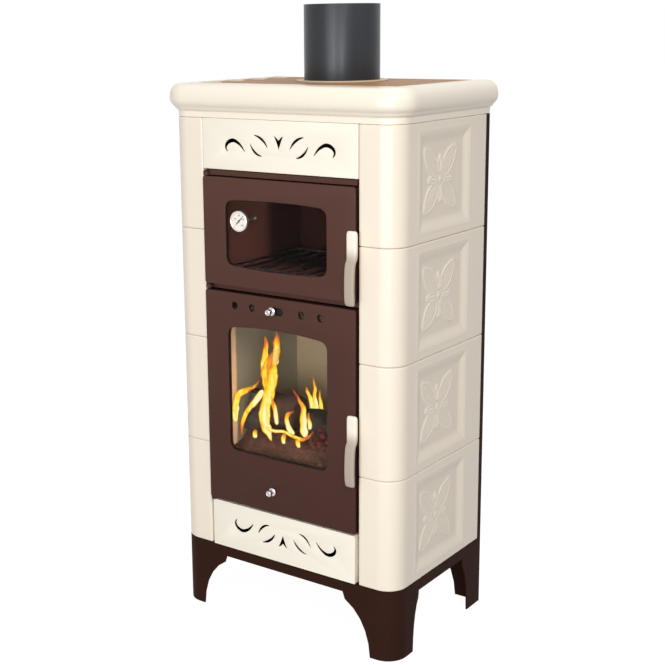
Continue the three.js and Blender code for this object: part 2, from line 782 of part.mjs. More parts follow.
// ---- Front frame and back panel ------------------------------------------------------------------------
const innerCorner = tileCornerRadius - tileWall;
const innerCornerReach = Math.sqrt(innerCorner ** 2 - (tileCornerRadius - frameFront) ** 2);
const frameSideGap = 1; // between the frame and the tiles' round inside
const frameHalf = halfWidth - tileCornerRadius + innerCornerReach - frameSideGap;
const lugHalf = 6;
const pinHead = 2; // height and overhang of the upper pin's head
const pinHeadGap = 4; // between that head and the top panel
const lugFloor = 1; // what stays under the blind bore of the lowest lug
const lugSteps = 6;
const doorLugGap = 3.5; // between a door's edge and the lug between the doors
const upperLugLow = ovenDoorHigh + railReveal;
const upperLugHigh = topPanelLow - pinHeadGap - pinHead;
const middleLugLow = fireDoorHigh + doorLugGap;
const middleLugHigh = ovenDoorLow - doorLugGap;
const lowerLugLow = bottomPanelHigh + panelGap;
const lowerLugHigh = fireDoorLow - panelGap;
const latchWindowHalf = 18;
const ovenSpindleZ = ovenDoorLow + ovenHandleTop - spindleDrop;
const fireSpindleZ = fireDoorLow + fireHandleTop - spindleDrop;
const latchBoxLeft = spindleX - camReach + camOffset / 2;
const latchBoxRight = spindleX + camReach + camGap;
const latchBoxBack = frameBack + latchBoxDepth;

function hingeLug(low, high, bored = true) {
  const outline = new THREE.Shape();
  outline.moveTo(pinX - lugHalf, frameFront + overcut);
  outline.lineTo(pinX - lugHalf, pinY);
  outline.absarc(pinX, pinY, lugHalf, Math.PI, 2 * Math.PI, false);
  outline.lineTo(pinX + lugHalf, frameFront + overcut);
  outline.closePath();
  if (bored) outline.holes.push(circle(pinX, pinY, pinRadius + runningGap));
  return topSlab(outline, low, high, 0, lugSteps);
}

function frontFrame() {
  const low = baseHeight;
  const high = crownBottom - panelGap;
  const outline = rectangle(-frameHalf, frameHalf, low, high);
  const ventHalf = chamberHalf - panelOpeningInset / 2;
  outline.holes.push(
    rectangle(-chamberHalf, chamberHalf, fireOpeningLow, fireOpeningHigh, THREE.Path),
    rectangle(-chamberHalf, chamberHalf, ovenOpeningLow, ovenOpeningHigh, THREE.Path),
    ...[[bottomPanelLow, bottomPanelHigh], [topPanelLow, topPanelHigh]].map(([z0, z1]) =>
      rectangle(-ventHalf, ventHalf, z0 + panelOpeningInset, z1 - panelOpeningInset, THREE.Path),
    ),
  );
  const face = frontSlab(outline, frameFront, frameBack);
  const railHalf = seam - bottomPanelGap + railReveal;
  const behindFace = frameFront + plate / 2;
  const upperRail = box(
    -railHalf, railHalf, railRecess, behindFace, upperLugLow, topPanelLow - railReveal,
  );
  const middleRail = box(
    -railHalf, railHalf, middleRailRecess, behindFace, fireDoorHigh + railReveal, ovenDoorLow - railReveal,
  );
  const stops = [-1, 1].map((side) => {
    const x = side * (seam + plate / 2);
    return box(x - plate / 2, x + plate / 2, tileWall + clearance, behindFace, low, high);
  });
  const latchBox = (z, grow, front) =>
    box(
      latchBoxLeft - grow, latchBoxRight + grow, front, latchBoxBack + grow,
      z - latchWindowHalf - grow, z + latchWindowHalf + grow,
    );
  const boreRadius = pinRadius + runningGap;
  const pinRoom = rodAlongZ(lugHalf + runningGap, pinX, pinY, upperLugHigh, topPanelLow, boreSegments);
  const pinBore = rodAlongZ(boreRadius, pinX, pinY, upperLugLow - overcut, topPanelLow, boreSegments);
  const blindBore = rodAlongZ(
    boreRadius, pinX, pinY, lowerLugLow + lugFloor, lowerLugHigh + overcut, boreSegments,
  );
  return cut(
    join(
      face, upperRail, middleRail, ...stops,
      hingeLug(upperLugLow, upperLugHigh), hingeLug(middleLugLow, middleLugHigh),
      hingeLug(lowerLugLow, lowerLugHigh, false),
      latchBox(ovenSpindleZ, sheet, frameBack - overcut),
      latchBox(fireSpindleZ, sheet, frameBack - overcut),
    ),
    latchBox(ovenSpindleZ, 0, frameFront - overcut),
    latchBox(fireSpindleZ, 0, frameFront - overcut),
    pinRoom, pinBore, blindBore,
  );
}

// The room that the bricks and the side wall leave for the frame's two latch boxes.
const latchRoomGap = 1;
const latchRoomGrow = sheet + latchRoomGap;
const latchRoom = (z) =>
  box(
    latchBoxLeft - latchRoomGrow, chamberSide + plate + overcut, frameFront, latchBoxBack + latchRoomGrow,
    z - latchWindowHalf - latchRoomGrow, z + latchWindowHalf + latchRoomGrow,
  );

const airSlotCount = 9;
const airSlotPitch = 42;
const airSlotWidth = 8;
const airSlotLength = 90;
const airSlotLow = 60; // lower row above the panel's lower edge
const airSlotHigh = 20; // upper row below its upper edge

// The back: a folded pan whose side flanges show beside the tiles, with two rows of upright air slots.
function backPanel() {
  const front = tileDepth + panelGap;
  const low = baseHeight;
  const high = crownBottom - panelGap;
  const pan = cut(
    box(-halfWidth, halfWidth, front, backFace, low, high),
    box(
      sheet - halfWidth, halfWidth - sheet, front - overcut, backFace - sheet,
      low + sheet, high - sheet,
    ),
  );
  const slots = [];
  for (let i = 0; i < airSlotCount; i += 1) {
    const x = (i - (airSlotCount - 1) / 2) * airSlotPitch;
    [low + airSlotLow, high - airSlotHigh - airSlotLength].forEach((z) =>
      slots.push(
        box(
          x - airSlotWidth / 2, x + airSlotWidth / 2, backFace - sheet - overcut, backFace + overcut,
          z, z + airSlotLength,
        ),
      ),
    );
  }
  return cut(pan, ...slots);
}

// ---- Fire chamber --------------------------------------------------------------------------------------
const wallBack = chamberBack + plate;
const wallWindowInset = 40; // back edge of a side wall's air window, in front of the wall's back edge
const wallWindowLow = 20;
const wallWindowCorner = 11;
const spigotReach = 12; // spigot above the cover, inside the pipe
const roofLow = roofTop - plate;

// A side wall: it steps back above the oven to leave the warm air a way out, and has an air window below.
function chamberWall() {
  const outline = new THREE.Shape();
  const low = baseHeight;
  const step = ovenDoorHigh + plate;
  outline.moveTo(chamberFront, low);
  outline.lineTo(wallBack, low);
  outline.lineTo(wallBack, roofLow - clearance);
  outline.lineTo(smokeFront, roofLow - clearance);
  outline.lineTo(smokeFront, step);
  outline.lineTo(chamberFront, step);
  outline.closePath();
  outline.holes.push(
    roundedRectangle(
      smokeFront, wallBack - wallWindowInset, low + wallWindowLow, bottomPanelHigh - wallWindowCorner,
      wallWindowCorner, THREE.Path,
    ),
  );
  return sideSlab(outline, chamberSide, chamberSide + plate, 0, 3);
}

const chamberBackWall = () =>
  box(
    clearance - chamberSide, chamberSide - clearance, chamberBack, wallBack,
    baseHeight, roofLow - clearance,
  );

// The roof with its front apron and the spigot that the pipe stands over.
function chamberRoof() {
  const half = chamberSide + plate;
  const innerHalf = chamberSide - clearance;
  const outline = rectangle(-half, half, smokeFront, wallBack);
  outline.holes.push(circle(0, flueBack, spigotInner));
  const roof = topSlab(outline, roofLow, roofTop, 0, flueSegments / 2);
  const shelf = ovenOpeningHigh + plate + clearance;
  const apron = box(-innerHalf, innerHalf, smokeFront, smokeFront + plate, shelf, roofLow + overcut);
  const apronFoot = box(-innerHalf, innerHalf, chamberFront, smokeFront + overcut, shelf, shelf + plate);
  const spigot = ringAlongZ(
    spigotInner, spigotOuter, 0, flueBack, roofLow, coverTop + spigotReach, flueSegments,
  );
  return join(roof, apron, apronFoot, spigot);
}

// A floor plate between the side walls, with an optional opening.
function floorPlate(low, thickness, opening) {
  const half = chamberSide - clearance;
  const outline = rectangle(-half, half, chamberFront, chamberBack - clearance);
  if (opening) outline.holes.push(opening);
  return topSlab(outline, low, low + thickness);
}

const ashFloor = () => floorPlate(ashFloorTop - plate, plate);

const grateInset = 45; // grate to the side bricks
const grateHalf = chamberHalf - grateInset;
const grateFront = chamberFront + 39.2;
const grateBack = fireboxDepth - 32.5;
const grateSeat = 10;
const grateSlots = 7; // in each of two banks
const grateSlot = 9;
const grateRim = 14;
const grateBridge = 10; // between the banks
const grateCorner = 8;

const fireFloor = () =>
  floorPlate(
    fireFloorLow, fireFloorTop - fireFloorLow,
    rectangle(
      grateSeat - grateHalf, grateHalf - grateSeat, grateFront + grateSeat, grateBack - grateSeat, THREE.Path,
    ),
  );

// The cast grate: a round-cornered plate with long ash slots in two banks.
function fireGrate() {
  const outline = roundedRectangle(-grateHalf, grateHalf, grateFront, grateBack, grateCorner);
  const middle = (grateFront + grateBack) / 2;
  const banks = [
    [grateFront + grateRim, middle - grateBridge / 2],
    [middle + grateBridge / 2, grateBack - grateRim],
  ];
  const reach = grateHalf - grateRim;
  const slots = [];
  for (let i = 0; i < grateSlots; i += 1) {
    const left = -reach + (i * (2 * reach - grateSlot)) / (grateSlots - 1);
    banks.forEach(([y0, y1]) =>
      slots.push(box(left, left + grateSlot, y0, y1, fireFloorTop, grateTop + overcut)),
    );
  }
  return cut(topSlab(outline, fireFloorTop + clearance, grateTop, 0, 2), ...slots);
}

const brickLow = fireFloorTop + clearance;
const brickEdge = 1.5;
const smokeGate = 48; // gap in front of the baffle, for the smoke
const sideBrick = () =>
  topSlab(
    rectangle(chamberHalf, chamberHalf + brick, chamberFront + clearance, chamberBack - clearance),
    brickLow, brickTop, brickEdge,
  );
const backBrick = () =>
  topSlab(
    rectangle(
      clearance - chamberHalf, chamberHalf - clearance, fireboxDepth, fireboxDepth + brick - clearance,
    ),
    brickLow, brickTop, brickEdge,
  );

const baffle = () =>
  box(
    panelGap - chamberSide, chamberSide - panelGap, chamberFront + smokeGate, chamberBack - panelGap,
    brickTop + clearance, brickTop + clearance + bafflePlate,
  );

// The ash pan: a tray with a folded grip along its front edge.
const ashPanHalf = chamberHalf - 8;
const ashPanBack = fireboxDepth - 14.5;
const ashGrip = 5; // how far the grip stands out
const ashGripHalf = 45;
const ashGripDrop = 14; // grip below the pan's rim
const ashGripLip = 6;
const ashPanFront = chamberFront + ashGrip + 1;

function ashPan() {
  const low = ashFloorTop + clearance;
  const high = low + ashPanHeight;
  const tray = cut(
    box(-ashPanHalf, ashPanHalf, ashPanFront, ashPanBack, low, high),
    box(
      sheet - ashPanHalf, ashPanHalf - sheet, ashPanFront + sheet, ashPanBack - sheet,
      low + sheet, high + overcut,
    ),
  );
  const front = ashPanFront - ashGrip;
  const gripLow = high - ashGripDrop;
  const grip = box(-ashGripHalf, ashGripHalf, front, ashPanFront + sheet / 2, gripLow, gripLow + sheet);
  const gripLip = box(
    -ashGripHalf, ashGripHalf, front, front + sheet, gripLow - ashGripLip, gripLow + sheet / 2,
  );
  return join(tray, grip, gripLip);
}

// ---- Oven ----------------------------------------------------------------------------------------------
const rackRibDepth = 8;
const rackRibHeight = 3;
const rackRibTop = ovenOpeningLow + 11;
const rackFront = chamberFront + 11.2;
const rackBack = ovenDepth - 17;
const wire = 2.5;
const crossWire = 2;
const rackWires = 9;
const rackSideGap = 3;
const wireSegments = 6;

// The oven: an open box with a flange behind the front frame and a pressed rib on each side for the rack.
function ovenBox() {
  const outer = chamberHalf + plate;
  const flangeHalf = latchBoxLeft - latchRoomGrow;
  const low = ovenOpeningLow - plate;
  const high = ovenOpeningHigh + plate;
  const shell = join(
    box(-outer, outer, chamberFront, ovenDepth + plate, low, high),
    box(-flangeHalf, flangeHalf, chamberFront, chamberFront + sheet, low - plate, high),
  );
  const hollow = cut(
    shell,
    box(-chamberHalf, chamberHalf, chamberFront - overcut, ovenDepth, ovenOpeningLow, ovenOpeningHigh),
  );
  const rib = box(
    chamberHalf - rackRibDepth, chamberHalf + plate / 2, rackFront, rackBack + wire,
    rackRibTop - rackRibHeight, rackRibTop,
  );
  return join(hollow, rib, mirrored(rib));
}

// The rack: a wire rectangle with cross wires let into it.
function ovenRack() {
  const half = chamberHalf - rackSideGap;
  const z = rackRibTop + clearance + wire;
  const pieces = [rackFront, rackBack].map((y) =>
    rodAlongY(wire, 0, -half, half, 0, wireSegments).rotateZ(-quarter).translate(0, y, z),
  );
  for (let i = 0; i < rackWires; i += 1) {
    const x = (half - wire) * (-1 + (2 * i) / (rackWires - 1));
    pieces.push(rodAlongY(crossWire, x, rackFront, rackBack, z, wireSegments));
  }
  return join(...pieces);
}

// ---- Doors ---------------------------------------------------------------------------------------------
const doorEdge = 1.4; // small round along a door's face

// The thick edge behind a door's face, with the groove that holds the rope seal.
function doorRim(low, high) {
  const ring = (x, zInset, y0, y1) => box(x - doorHalf, doorHalf - x, y0, y1, low + zInset, high - zInset);
  const grooveFloor = doorBack - ropeWidth;
  const rim = cut(
    ring(0, 0, leafBack - overcut, doorBack),
    ring(rimWidth + ropeWidth + lipWidth, lipInset, leafBack - 2 * overcut, doorBack + overcut),
  );
  const groove = cut(
    ring(rimWidth, rimHeight, grooveFloor, doorBack + overcut),
    ring(rimWidth + ropeWidth, rimHeight + ropeWidth, grooveFloor - overcut, doorBack + 2 * overcut),
  );
  return cut(rim, groove);
}

// What every door has: face plate with window, rim, two pin bores and the spindle's bore.
function doorLeaf(low, high, window, spindleZ) {
  const outline = roundedRectangle(-doorHalf, doorHalf, low, high, doorCorner);
  outline.holes.push(window);
  const pinBore = (z0, z1) => rodAlongZ(pinRadius + runningGap, pinX, pinY, z0, z1);
  return cut(
    join(frontSlab(outline, doorFace, leafBack, doorEdge), doorRim(low, high)),
    pinBore(low - overcut, low + pinBoreDepth),
    pinBore(high - pinBoreDepth, high + overcut),
    rodAlongY(spindleRadius + runningGap, spindleX, doorFace - overcut, doorBack + overcut, spindleZ),
  );
}

// The rope seal: a square-set loop in the rim's groove, standing a little proud of it.
function doorSeal(low, high) {
  const ring = (x, zInset, grow) =>
    box(x - doorHalf, doorHalf - x, sealFront - grow, sealBack + grow, low + zInset, high - zInset);
  const sealFront = doorBack - ropeWidth + clearance;
  const sealBack = frameFront - clearance;
  return cut(
    ring(rimWidth + clearance, rimHeight + clearance, 0),
    ring(rimWidth + ropeWidth - clearance, rimHeight + ropeWidth - clearance, overcut),
  );
}

const glassFront = leafBack + clearance;
const glassBack = glassFront + glassThickness;

function doorGlass(low, high, hole) {
  const outline = rectangle(
    windowLeft - glassMargin, windowRight + glassMargin, low - glassMargin, high + glassMargin,
  );
  if (hole) outline.holes.push(hole);
  return frontSlab(outline, glassFront, glassBack, 0, holeSteps);
}

const retainerMargin = 3; // the retainer reaches past the glass
const retainerCorner = 4;
const retainerShow = 1; // its window is larger than the door's
const retainerBow = 3; // and less bowed

// The pressed frame that holds a glass against its door from behind.
function glassRetainer(low, high, lowBow, highBow) {
  const margin = glassMargin + retainerMargin;
  const outline = roundedRectangle(
    windowLeft - margin, windowRight + margin, low - margin, high + margin, retainerCorner,
  );
  outline.holes.push(
    windowOutline(low, high, lowBow - retainerBow, highBow - retainerBow, retainerShow),
  );
  return frontSlab(outline, glassBack + clearance, glassBack + clearance + sheet);
}

const ovenWindow = [ovenDoorLow + ovenWindowLow, ovenDoorLow + ovenWindowHigh];
const fireWindow = [fireDoorLow + fireWindowLow, fireDoorLow + fireWindowHigh];
const thermometerZ = ovenDoorLow + thermometerHeight;
const airZ = fireDoorLow + airHoleHeight;
const primaryZ = fireDoorLow + primaryKnobHeight;
const stemRadius = 3.5;
const slideThickness = 1.8;
const slideHoleGap = 0.3; // the slide's holes are smaller than the door's
const guideGap = 2.4; // door's face plate to the guides' folded lips
const guideWall = 4;
const guideReach = 2.2; // how far a lip reaches over the slide
const intakePlaces = [-90, -30, 30, 90];
const intakeHalf = 14;
const intakeWall = 3; // what stays of the rim in front of and behind an air inlet

const ovenDoor = () =>
  doorLeaf(
    ovenDoorLow, ovenDoorHigh, windowOutline(...ovenWindow, ovenWindowBow, ovenWindowBow), ovenSpindleZ,
  );

// The fire door has, besides, the air holes, the slide's slot and guides, the lower knob's bore and four air
// inlets through its lower rim.
function fireDoor() {
  const bore = (x, z, radius) => rodAlongY(radius, x, doorFace - overcut, glassBack, z);
  const slot = roundedRectangle(
    airSlotLeft, airSlotRight, airZ - airHoleRadius, airZ + airHoleRadius, airHoleRadius - panelEdge,
  );
  const leafBody = doorLeaf(
    fireDoorLow, fireDoorHigh, windowOutline(...fireWindow, fireWindowSag, fireWindowBow), fireSpindleZ,
  );
  const hookFront = leafBack + guideGap;
  const hookBack = hookFront + sheet;
  const guide = (side) => {
    const edge = airZ + (side * airSlideHeight) / 2;
    const span = (y0, from, to) => {
      const ends = [edge + side * from, edge + side * to].sort((a, b) => a - b);
      return box(-chamberHalf, chamberHalf, y0, hookBack, ...ends);
    };
    return [span(leafBack - overcut, clearance, guideWall), span(hookFront, -guideReach, sheet)];
  };
  const intakes = intakePlaces.map((x) =>
    box(
      x - intakeHalf, x + intakeHalf, leafBack + sheet, doorBack - ropeWidth - intakeWall,
      fireDoorLow - overcut, fireDoorLow + lipInset + overcut,
    ),
  );
  return cut(
    join(leafBody, ...guide(-1), ...guide(1)),
    ...intakes,
    ...airHoles.map((x) => bore(x, airZ, airHoleRadius)),
    bore(primaryKnobX, primaryZ, stemRadius + runningGap),
    frontSlab(slot, doorFace - overcut, leafBack + overcut),
  );
}

// The inner plate behind the fire door's lower part, with the port that the primary air comes in by.
const linerFront = doorBack - 7.5;
const linerGlassGap = 4;
const portRadius = damperRadius - 5;
const damperThickness = 2;
const discSegments = 20;
const holeSteps = 4;

function fireDoorLiner() {
  const half = chamberHalf + chamberGap - clearance;
  const low = fireDoorLow + lipInset + clearance;
  const outline = rectangle(-half, half, low, fireWindow[0] - glassMargin - linerGlassGap);
  outline.holes.push(circle(primaryKnobX, primaryZ, portRadius));
  return frontSlab(outline, linerFront, linerFront + sheet, 0, 2 * holeSteps);
}

function secondarySlide() {
  const outline = rectangle(
    -airSlideHalf, airSlideHalf, airZ - airSlideHeight / 2, airZ + airSlideHeight / 2,
  );
  airHoles.forEach((x) => outline.holes.push(circle(x, airZ, airHoleRadius - slideHoleGap)));
  const front = leafBack + clearance;
  return frontSlab(outline, front, front + slideThickness, 0, holeSteps);
}

const knobEdge = 1.6;
const knobCap = 6; // length of the knob's thick end
const knobNeck = 2.2; // how much thinner its neck is
const knobNeckPlaces = [9, 12];
const knobFoot = 2; // how much wider its foot is
const knobFootStart = 13.2;
const knobDoorGap = 0.5;

// A turned knob: rounded end, neck, foot and the stem that carries it through the door.
function knob(x, z, innerEnd) {
  const face = doorFace - knobReach;
  const footBack = knobReach - knobDoorGap;
  const profile = [
    [0, 0],
    [knobRadius - knobEdge, 0],
    [knobRadius, knobEdge],
    [knobRadius, knobCap],
    ...knobNeckPlaces.map((along) => [knobRadius - knobNeck, along]),
    [knobRadius + knobFoot, knobFootStart],
    [knobRadius + knobFoot, footBack],
    [stemRadius, footBack],
    [stemRadius, innerEnd - face],
    [0, innerEnd - face],
  ];
  return turned(profile, x, face, z, rodSegments);
}

const secondaryKnob = () => knob(secondaryKnobX, airZ, leafBack);
const damperBack = linerFront - clearance;
const damperFront = damperBack - damperThickness;
const primaryKnob = () => knob(primaryKnobX, primaryZ, damperFront - clearance);
const primaryDamper = () =>
  rodAlongY(damperRadius, primaryKnobX, damperFront, damperBack, primaryZ, discSegments);

// ---- Handles and latches -------------------------------------------------------------------------------
const headBack = doorFace - clearance;
const headFront = headBack - headThickness;
const headRight = doorHalf + headOverhang;

const headCorner = 5;
const headEdge = 2;
const leverEdge = 1.4;
const leverSetback = 0.6; // lever's front behind the head's
const leverRoot = 12; // how far the lever runs up inside the head
const leverStraight = 2;
const leverBend = 14; // below the head, where it swings out
const leverSteps = 9;
const spindleSocket = 6;
const spindleEnd = 2; // what the spindle stands out behind the cam
const camFrontGap = 0.8;

// A lever handle: a flat head over the spindle and a bowed lever hanging from it.
function handle(top, spindleZ) {
  const middleX = headRight - headWidth / 2;
  const low = top - headHeight;
  const end = top - leverLength;
  const head = frontSlab(
    roundedRectangle(headRight - headWidth, headRight, low, top, headCorner), headFront, headBack, headEdge,
  );
  const root = headFront + leverThickness / 2 + leverSetback;
  const crest = headFront - leverBow + leverThickness / 2;
  const bow = new THREE.SplineCurve([
    vector(root, low + leverRoot),
    vector(root, low + leverStraight),
    vector((root + crest) / 2, low - leverBend),
    vector(crest, (low + end) / 2),
    vector(crest + leverReturn, end),
  ]);
  const lever = sideSlab(
    new THREE.Shape(stroke(bow, () => leverThickness / 2, leverSteps)),
    middleX - leverWidth / 2, middleX + leverWidth / 2, leverEdge, 1,
  );
  const socket = rodAlongY(
    spindleRadius + clearance, spindleX, headBack - spindleSocket, headBack + overcut, spindleZ,
  );
  return cut(join(head, lever), socket);
}

// The latch: a spindle through the door with an off-centre cam that turns in the frame's latch box.
function latch(spindleZ) {
  const camFront = frameBack + camFrontGap;
  const camBack = camFront + camThickness;
  const spindleFront = headBack - spindleSocket + runningGap;
  const spindle = rodAlongY(spindleRadius, spindleX, spindleFront, camBack + spindleEnd, spindleZ);
  const cam = rodAlongY(
    camReach - camOffset, spindleX + camOffset, camFront, camBack, spindleZ, discSegments,
  );
  return join(spindle, cam);
}

// A hinge pin, with a head where it hangs on a lug.
function hingePin(low, high, headLow, headHigh) {
  const pin = rodAlongZ(pinRadius, pinX, pinY, low, high);
  return headLow ? join(pin, rodAlongZ(pinRadius + pinHead, pinX, pinY, headLow, headHigh)) : pin;
}

// ---- Thermometer ---------------------------------------------------------------------------------------
const caseBack = glassFront - clearance;
const caseFront = caseBack - bezelDepth;
const caseWall = 1.4;
const bezelLip = [0.8, 0.4]; // how far the bezel's lip reaches in, and how far behind its crest
const bezelCrest = 1.2;
const bezelBand = 4; // height of the bezel's straight side
const probeRadius = 3;
const probeBore = probeRadius + 1.4;
const dialSetback = 4; // the dial's face behind the bezel's crest
const dialPlate = 0.8;
const dialGap = 0.4;
const pivotRadius = 0.9;
const pivotReach = 2.6; // in front of the dial
const pivotSegments = 10;
const pointerLift = 1.4; // pointer's back in front of the dial
const pointerPlate = 0.8;
const pointerHub = 2.4;
const pointerBore = 1.2;
const pointerArm = [[1.1, -8], [0.8, 0], [0.4, 14.5]]; // half width and distance from the pivot
const probeSegments = 12;
const probeHead = 1.2; // what stands in the case, in front of its back
const nutRadius = 8;
const nutThickness = 5;
const tipLength = 4;
const tipStep = 1;
const dialBack = caseFront + dialSetback;

function thermometerCase() {
  const inner = bezelRadius - caseWall;
  const profile = [
    [probeBore, bezelDepth],
    [probeBore, bezelDepth - caseWall],
    [inner, bezelDepth - caseWall],
    [inner, caseWall],
    [inner - bezelLip[0], bezelLip[1]],
    [bezelRadius - bezelCrest, 0],
    [bezelRadius, caseWall],
    [bezelRadius, bezelBand],
    [inner, bezelDepth],
    [probeBore, bezelDepth],
  ];
  return turned(profile, thermometerX, caseFront, thermometerZ, discSegments);
}

function thermometerDial() {
  const discFront = dialBack - dialPlate;
  const disc = rodAlongY(
    bezelRadius - caseWall - dialGap, thermometerX, discFront, dialBack, thermometerZ, discSegments,
  );
  const pivot = rodAlongY(
    pivotRadius, thermometerX, dialBack - dialPlate / 2 - pivotReach, dialBack - dialPlate / 2,
    thermometerZ, pivotSegments,
  );
  return join(disc, pivot);
}

// The pointer's long arm leans to the upper right at rest, balanced by a short tail.
function thermometerPointer() {
  const lean = quarter / 2;
  const right = pointerArm.map(([half, along]) => vector(half, along));
  const left = pointerArm.map(([half, along]) => vector(-half, along)).reverse();
  const back = dialBack - pointerLift;
  const front = back - pointerPlate;
  const arm = frontSlab(new THREE.Shape([...right, ...left]), front, back);
  const hub = rodAlongY(pointerHub, 0, front, back, 0);
  const bore = rodAlongY(pointerBore, 0, front - overcut, back + overcut, 0);
  return cut(join(arm, hub), bore).rotateY(lean).translate(thermometerX, 0, thermometerZ);
}

// The probe: a stem through the glass, a nut behind it and a rod with a bright tip in the oven.
function thermometerProbe() {
  const start = caseBack - probeHead;
  const nutFront = glassBack + clearance - start;
  const tipFront = probeLength - tipLength;
  const tipRadius = probeRadius + probeHead;
  const profile = [
    [0, 0],
    [probeRadius, 0],
    [probeRadius, nutFront],
    [nutRadius, nutFront],
    [nutRadius, nutFront + nutThickness],
    [probeRadius, nutFront + nutThickness],
    [probeRadius, tipFront - tipStep],
    [tipRadius, tipFront],
    [tipRadius, probeLength],
    [0, probeLength],
  ];
  return turned(profile, thermometerX, start, thermometerZ, probeSegments);
}

// ---- Assembly ------------------------------------------------------------------------------------------
const stove = new THREE.Group();

function add(name, geometry, material) {
  const mesh = new THREE.Mesh(geometry, material);
  mesh.name = name;
  stove.add(mesh);
}

add("base_frame", baseFrame(), baseEnamel);
add("base_plate", basePlate(), baseEnamel);

const tile = cornerTile();
for (let row = 0; row < tileRows; row += 1) {
  const z = baseHeight + row * tilePitch;
  add(`right_tile_${row + 1}`, tile.clone().translate(0, 0, z), creamGlaze);
  add(`left_tile_${row + 1}`, mirrored(tile).translate(0, 0, z), creamGlaze);
}

add("crown_surround", crownSurround(), creamGlaze);
add("top_plate", topPlate(), brownEnamel);
add("top_vent_grille", topVentGrille(), creamEnamel);
add("flue_collar", flueCollar(), creamEnamel);
add("flue_pipe", fluePipe(), pipePaint);

add("top_vent_panel", ventPanel(topPanelHalf, topPanelLow, topPanelHigh, 0, 1), creamEnamel);
add(
  "bottom_vent_panel",
  ventPanel(
    bottomPanelHalf, bottomPanelLow, bottomPanelHigh, -bottomPanelProud, -1,
    lowerScrollRise, lowerScrollGather,
  ),
  creamEnamel,
);
add("front_frame", frontFrame(), brownEnamel);
add("back_panel", backPanel(), brownEnamel);

add("chamber_wall_right", cut(chamberWall(), latchRoom(ovenSpindleZ), latchRoom(fireSpindleZ)), blackSteel);
add("chamber_wall_left", mirrored(chamberWall()), blackSteel);
add("chamber_wall_back", chamberBackWall(), blackSteel);
add("chamber_roof", chamberRoof(), blackSteel);
add("ash_floor", ashFloor(), blackSteel);
add("firebox_floor", fireFloor(), blackSteel);
add("fire_grate", fireGrate(), castIron);
add("firebrick_right", cut(sideBrick(), latchRoom(fireSpindleZ)), fireClay);
add("firebrick_left", mirrored(sideBrick()), fireClay);
add("firebrick_back", backBrick(), fireClay);
add("baffle_plate", baffle(), fireClay);
add("ash_pan", ashPan(), blackSteel);
add("oven_box", ovenBox(), brownEnamel);
add("oven_rack", ovenRack(), brightMetal);

const pinReach = pinBoreDepth - 1; // length of a pin's end inside a door
add(
  "hinge_pin_upper",
  hingePin(ovenDoorHigh - pinReach, upperLugHigh + pinHead, upperLugHigh + clearance, upperLugHigh + pinHead),
  brightMetal,
);
add(
  "hinge_pin_middle",
  hingePin(
    fireDoorHigh - pinReach, ovenDoorLow + pinReach, middleLugHigh + clearance, ovenDoorLow - clearance,
  ),
  brightMetal,
);
add(
  "hinge_pin_lower",
  hingePin(lowerLugLow + lugFloor + clearance, fireDoorLow + pinReach),
  brightMetal,
);

add("oven_door", ovenDoor(), brownEnamel);
add("oven_glass", doorGlass(...ovenWindow, circle(thermometerX, thermometerZ, probeBore)), clearGlass);
add("oven_glass_retainer", glassRetainer(...ovenWindow, ovenWindowBow, ovenWindowBow), blackSteel);
add("oven_door_seal", doorSeal(ovenDoorLow, ovenDoorHigh), ropeSeal);
add("oven_handle", handle(ovenDoorLow + ovenHandleTop, ovenSpindleZ), creamEnamel);
add("oven_latch", latch(ovenSpindleZ), blackSteel);

add("fire_door", fireDoor(), brownEnamel);
add("fire_glass", doorGlass(...fireWindow), clearGlass);
add("fire_glass_retainer", glassRetainer(...fireWindow, fireWindowSag, fireWindowBow), blackSteel);
add("fire_door_seal", doorSeal(fireDoorLow, fireDoorHigh), ropeSeal);
add("fire_door_liner", fireDoorLiner(), blackSteel);
add("fire_handle", handle(fireDoorLow + fireHandleTop, fireSpindleZ), creamEnamel);
add("fire_latch", latch(fireSpindleZ), blackSteel);

add("secondary_air_slide", secondarySlide(), blackSteel);
add("secondary_air_knob", secondaryKnob(), brightMetal);
add("primary_air_knob", primaryKnob(), brightMetal);
add("primary_air_damper", primaryDamper(), blackSteel);

add("thermometer_case", thermometerCase(), brightMetal);
add("thermometer_dial", thermometerDial(), dialWhite);
add("thermometer_pointer", thermometerPointer(), dialBlack);
add("thermometer_probe", thermometerProbe(), brightMetal);

const bounds = new THREE.Box3().setFromObject(stove);
stove.position.y = -(bounds.min.y + bounds.max.y) / 2;

export default stove;
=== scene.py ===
# %% [markdown]
# # A tiled wood stove with an oven
# The stove's solids come from its CAD model, in metres, with X to the right, Y to the back and Z up. This
# lesson dresses them: it puts smooth glazed surfaces where the solids have facets, gives every piece a finish
# worked out by nodes, lights a fire behind the glass and sets up a plain studio.

from math import cos, pi, radians, sin, tau

import bmesh
import bpy
import numpy as np
from mathutils import Matrix, Vector


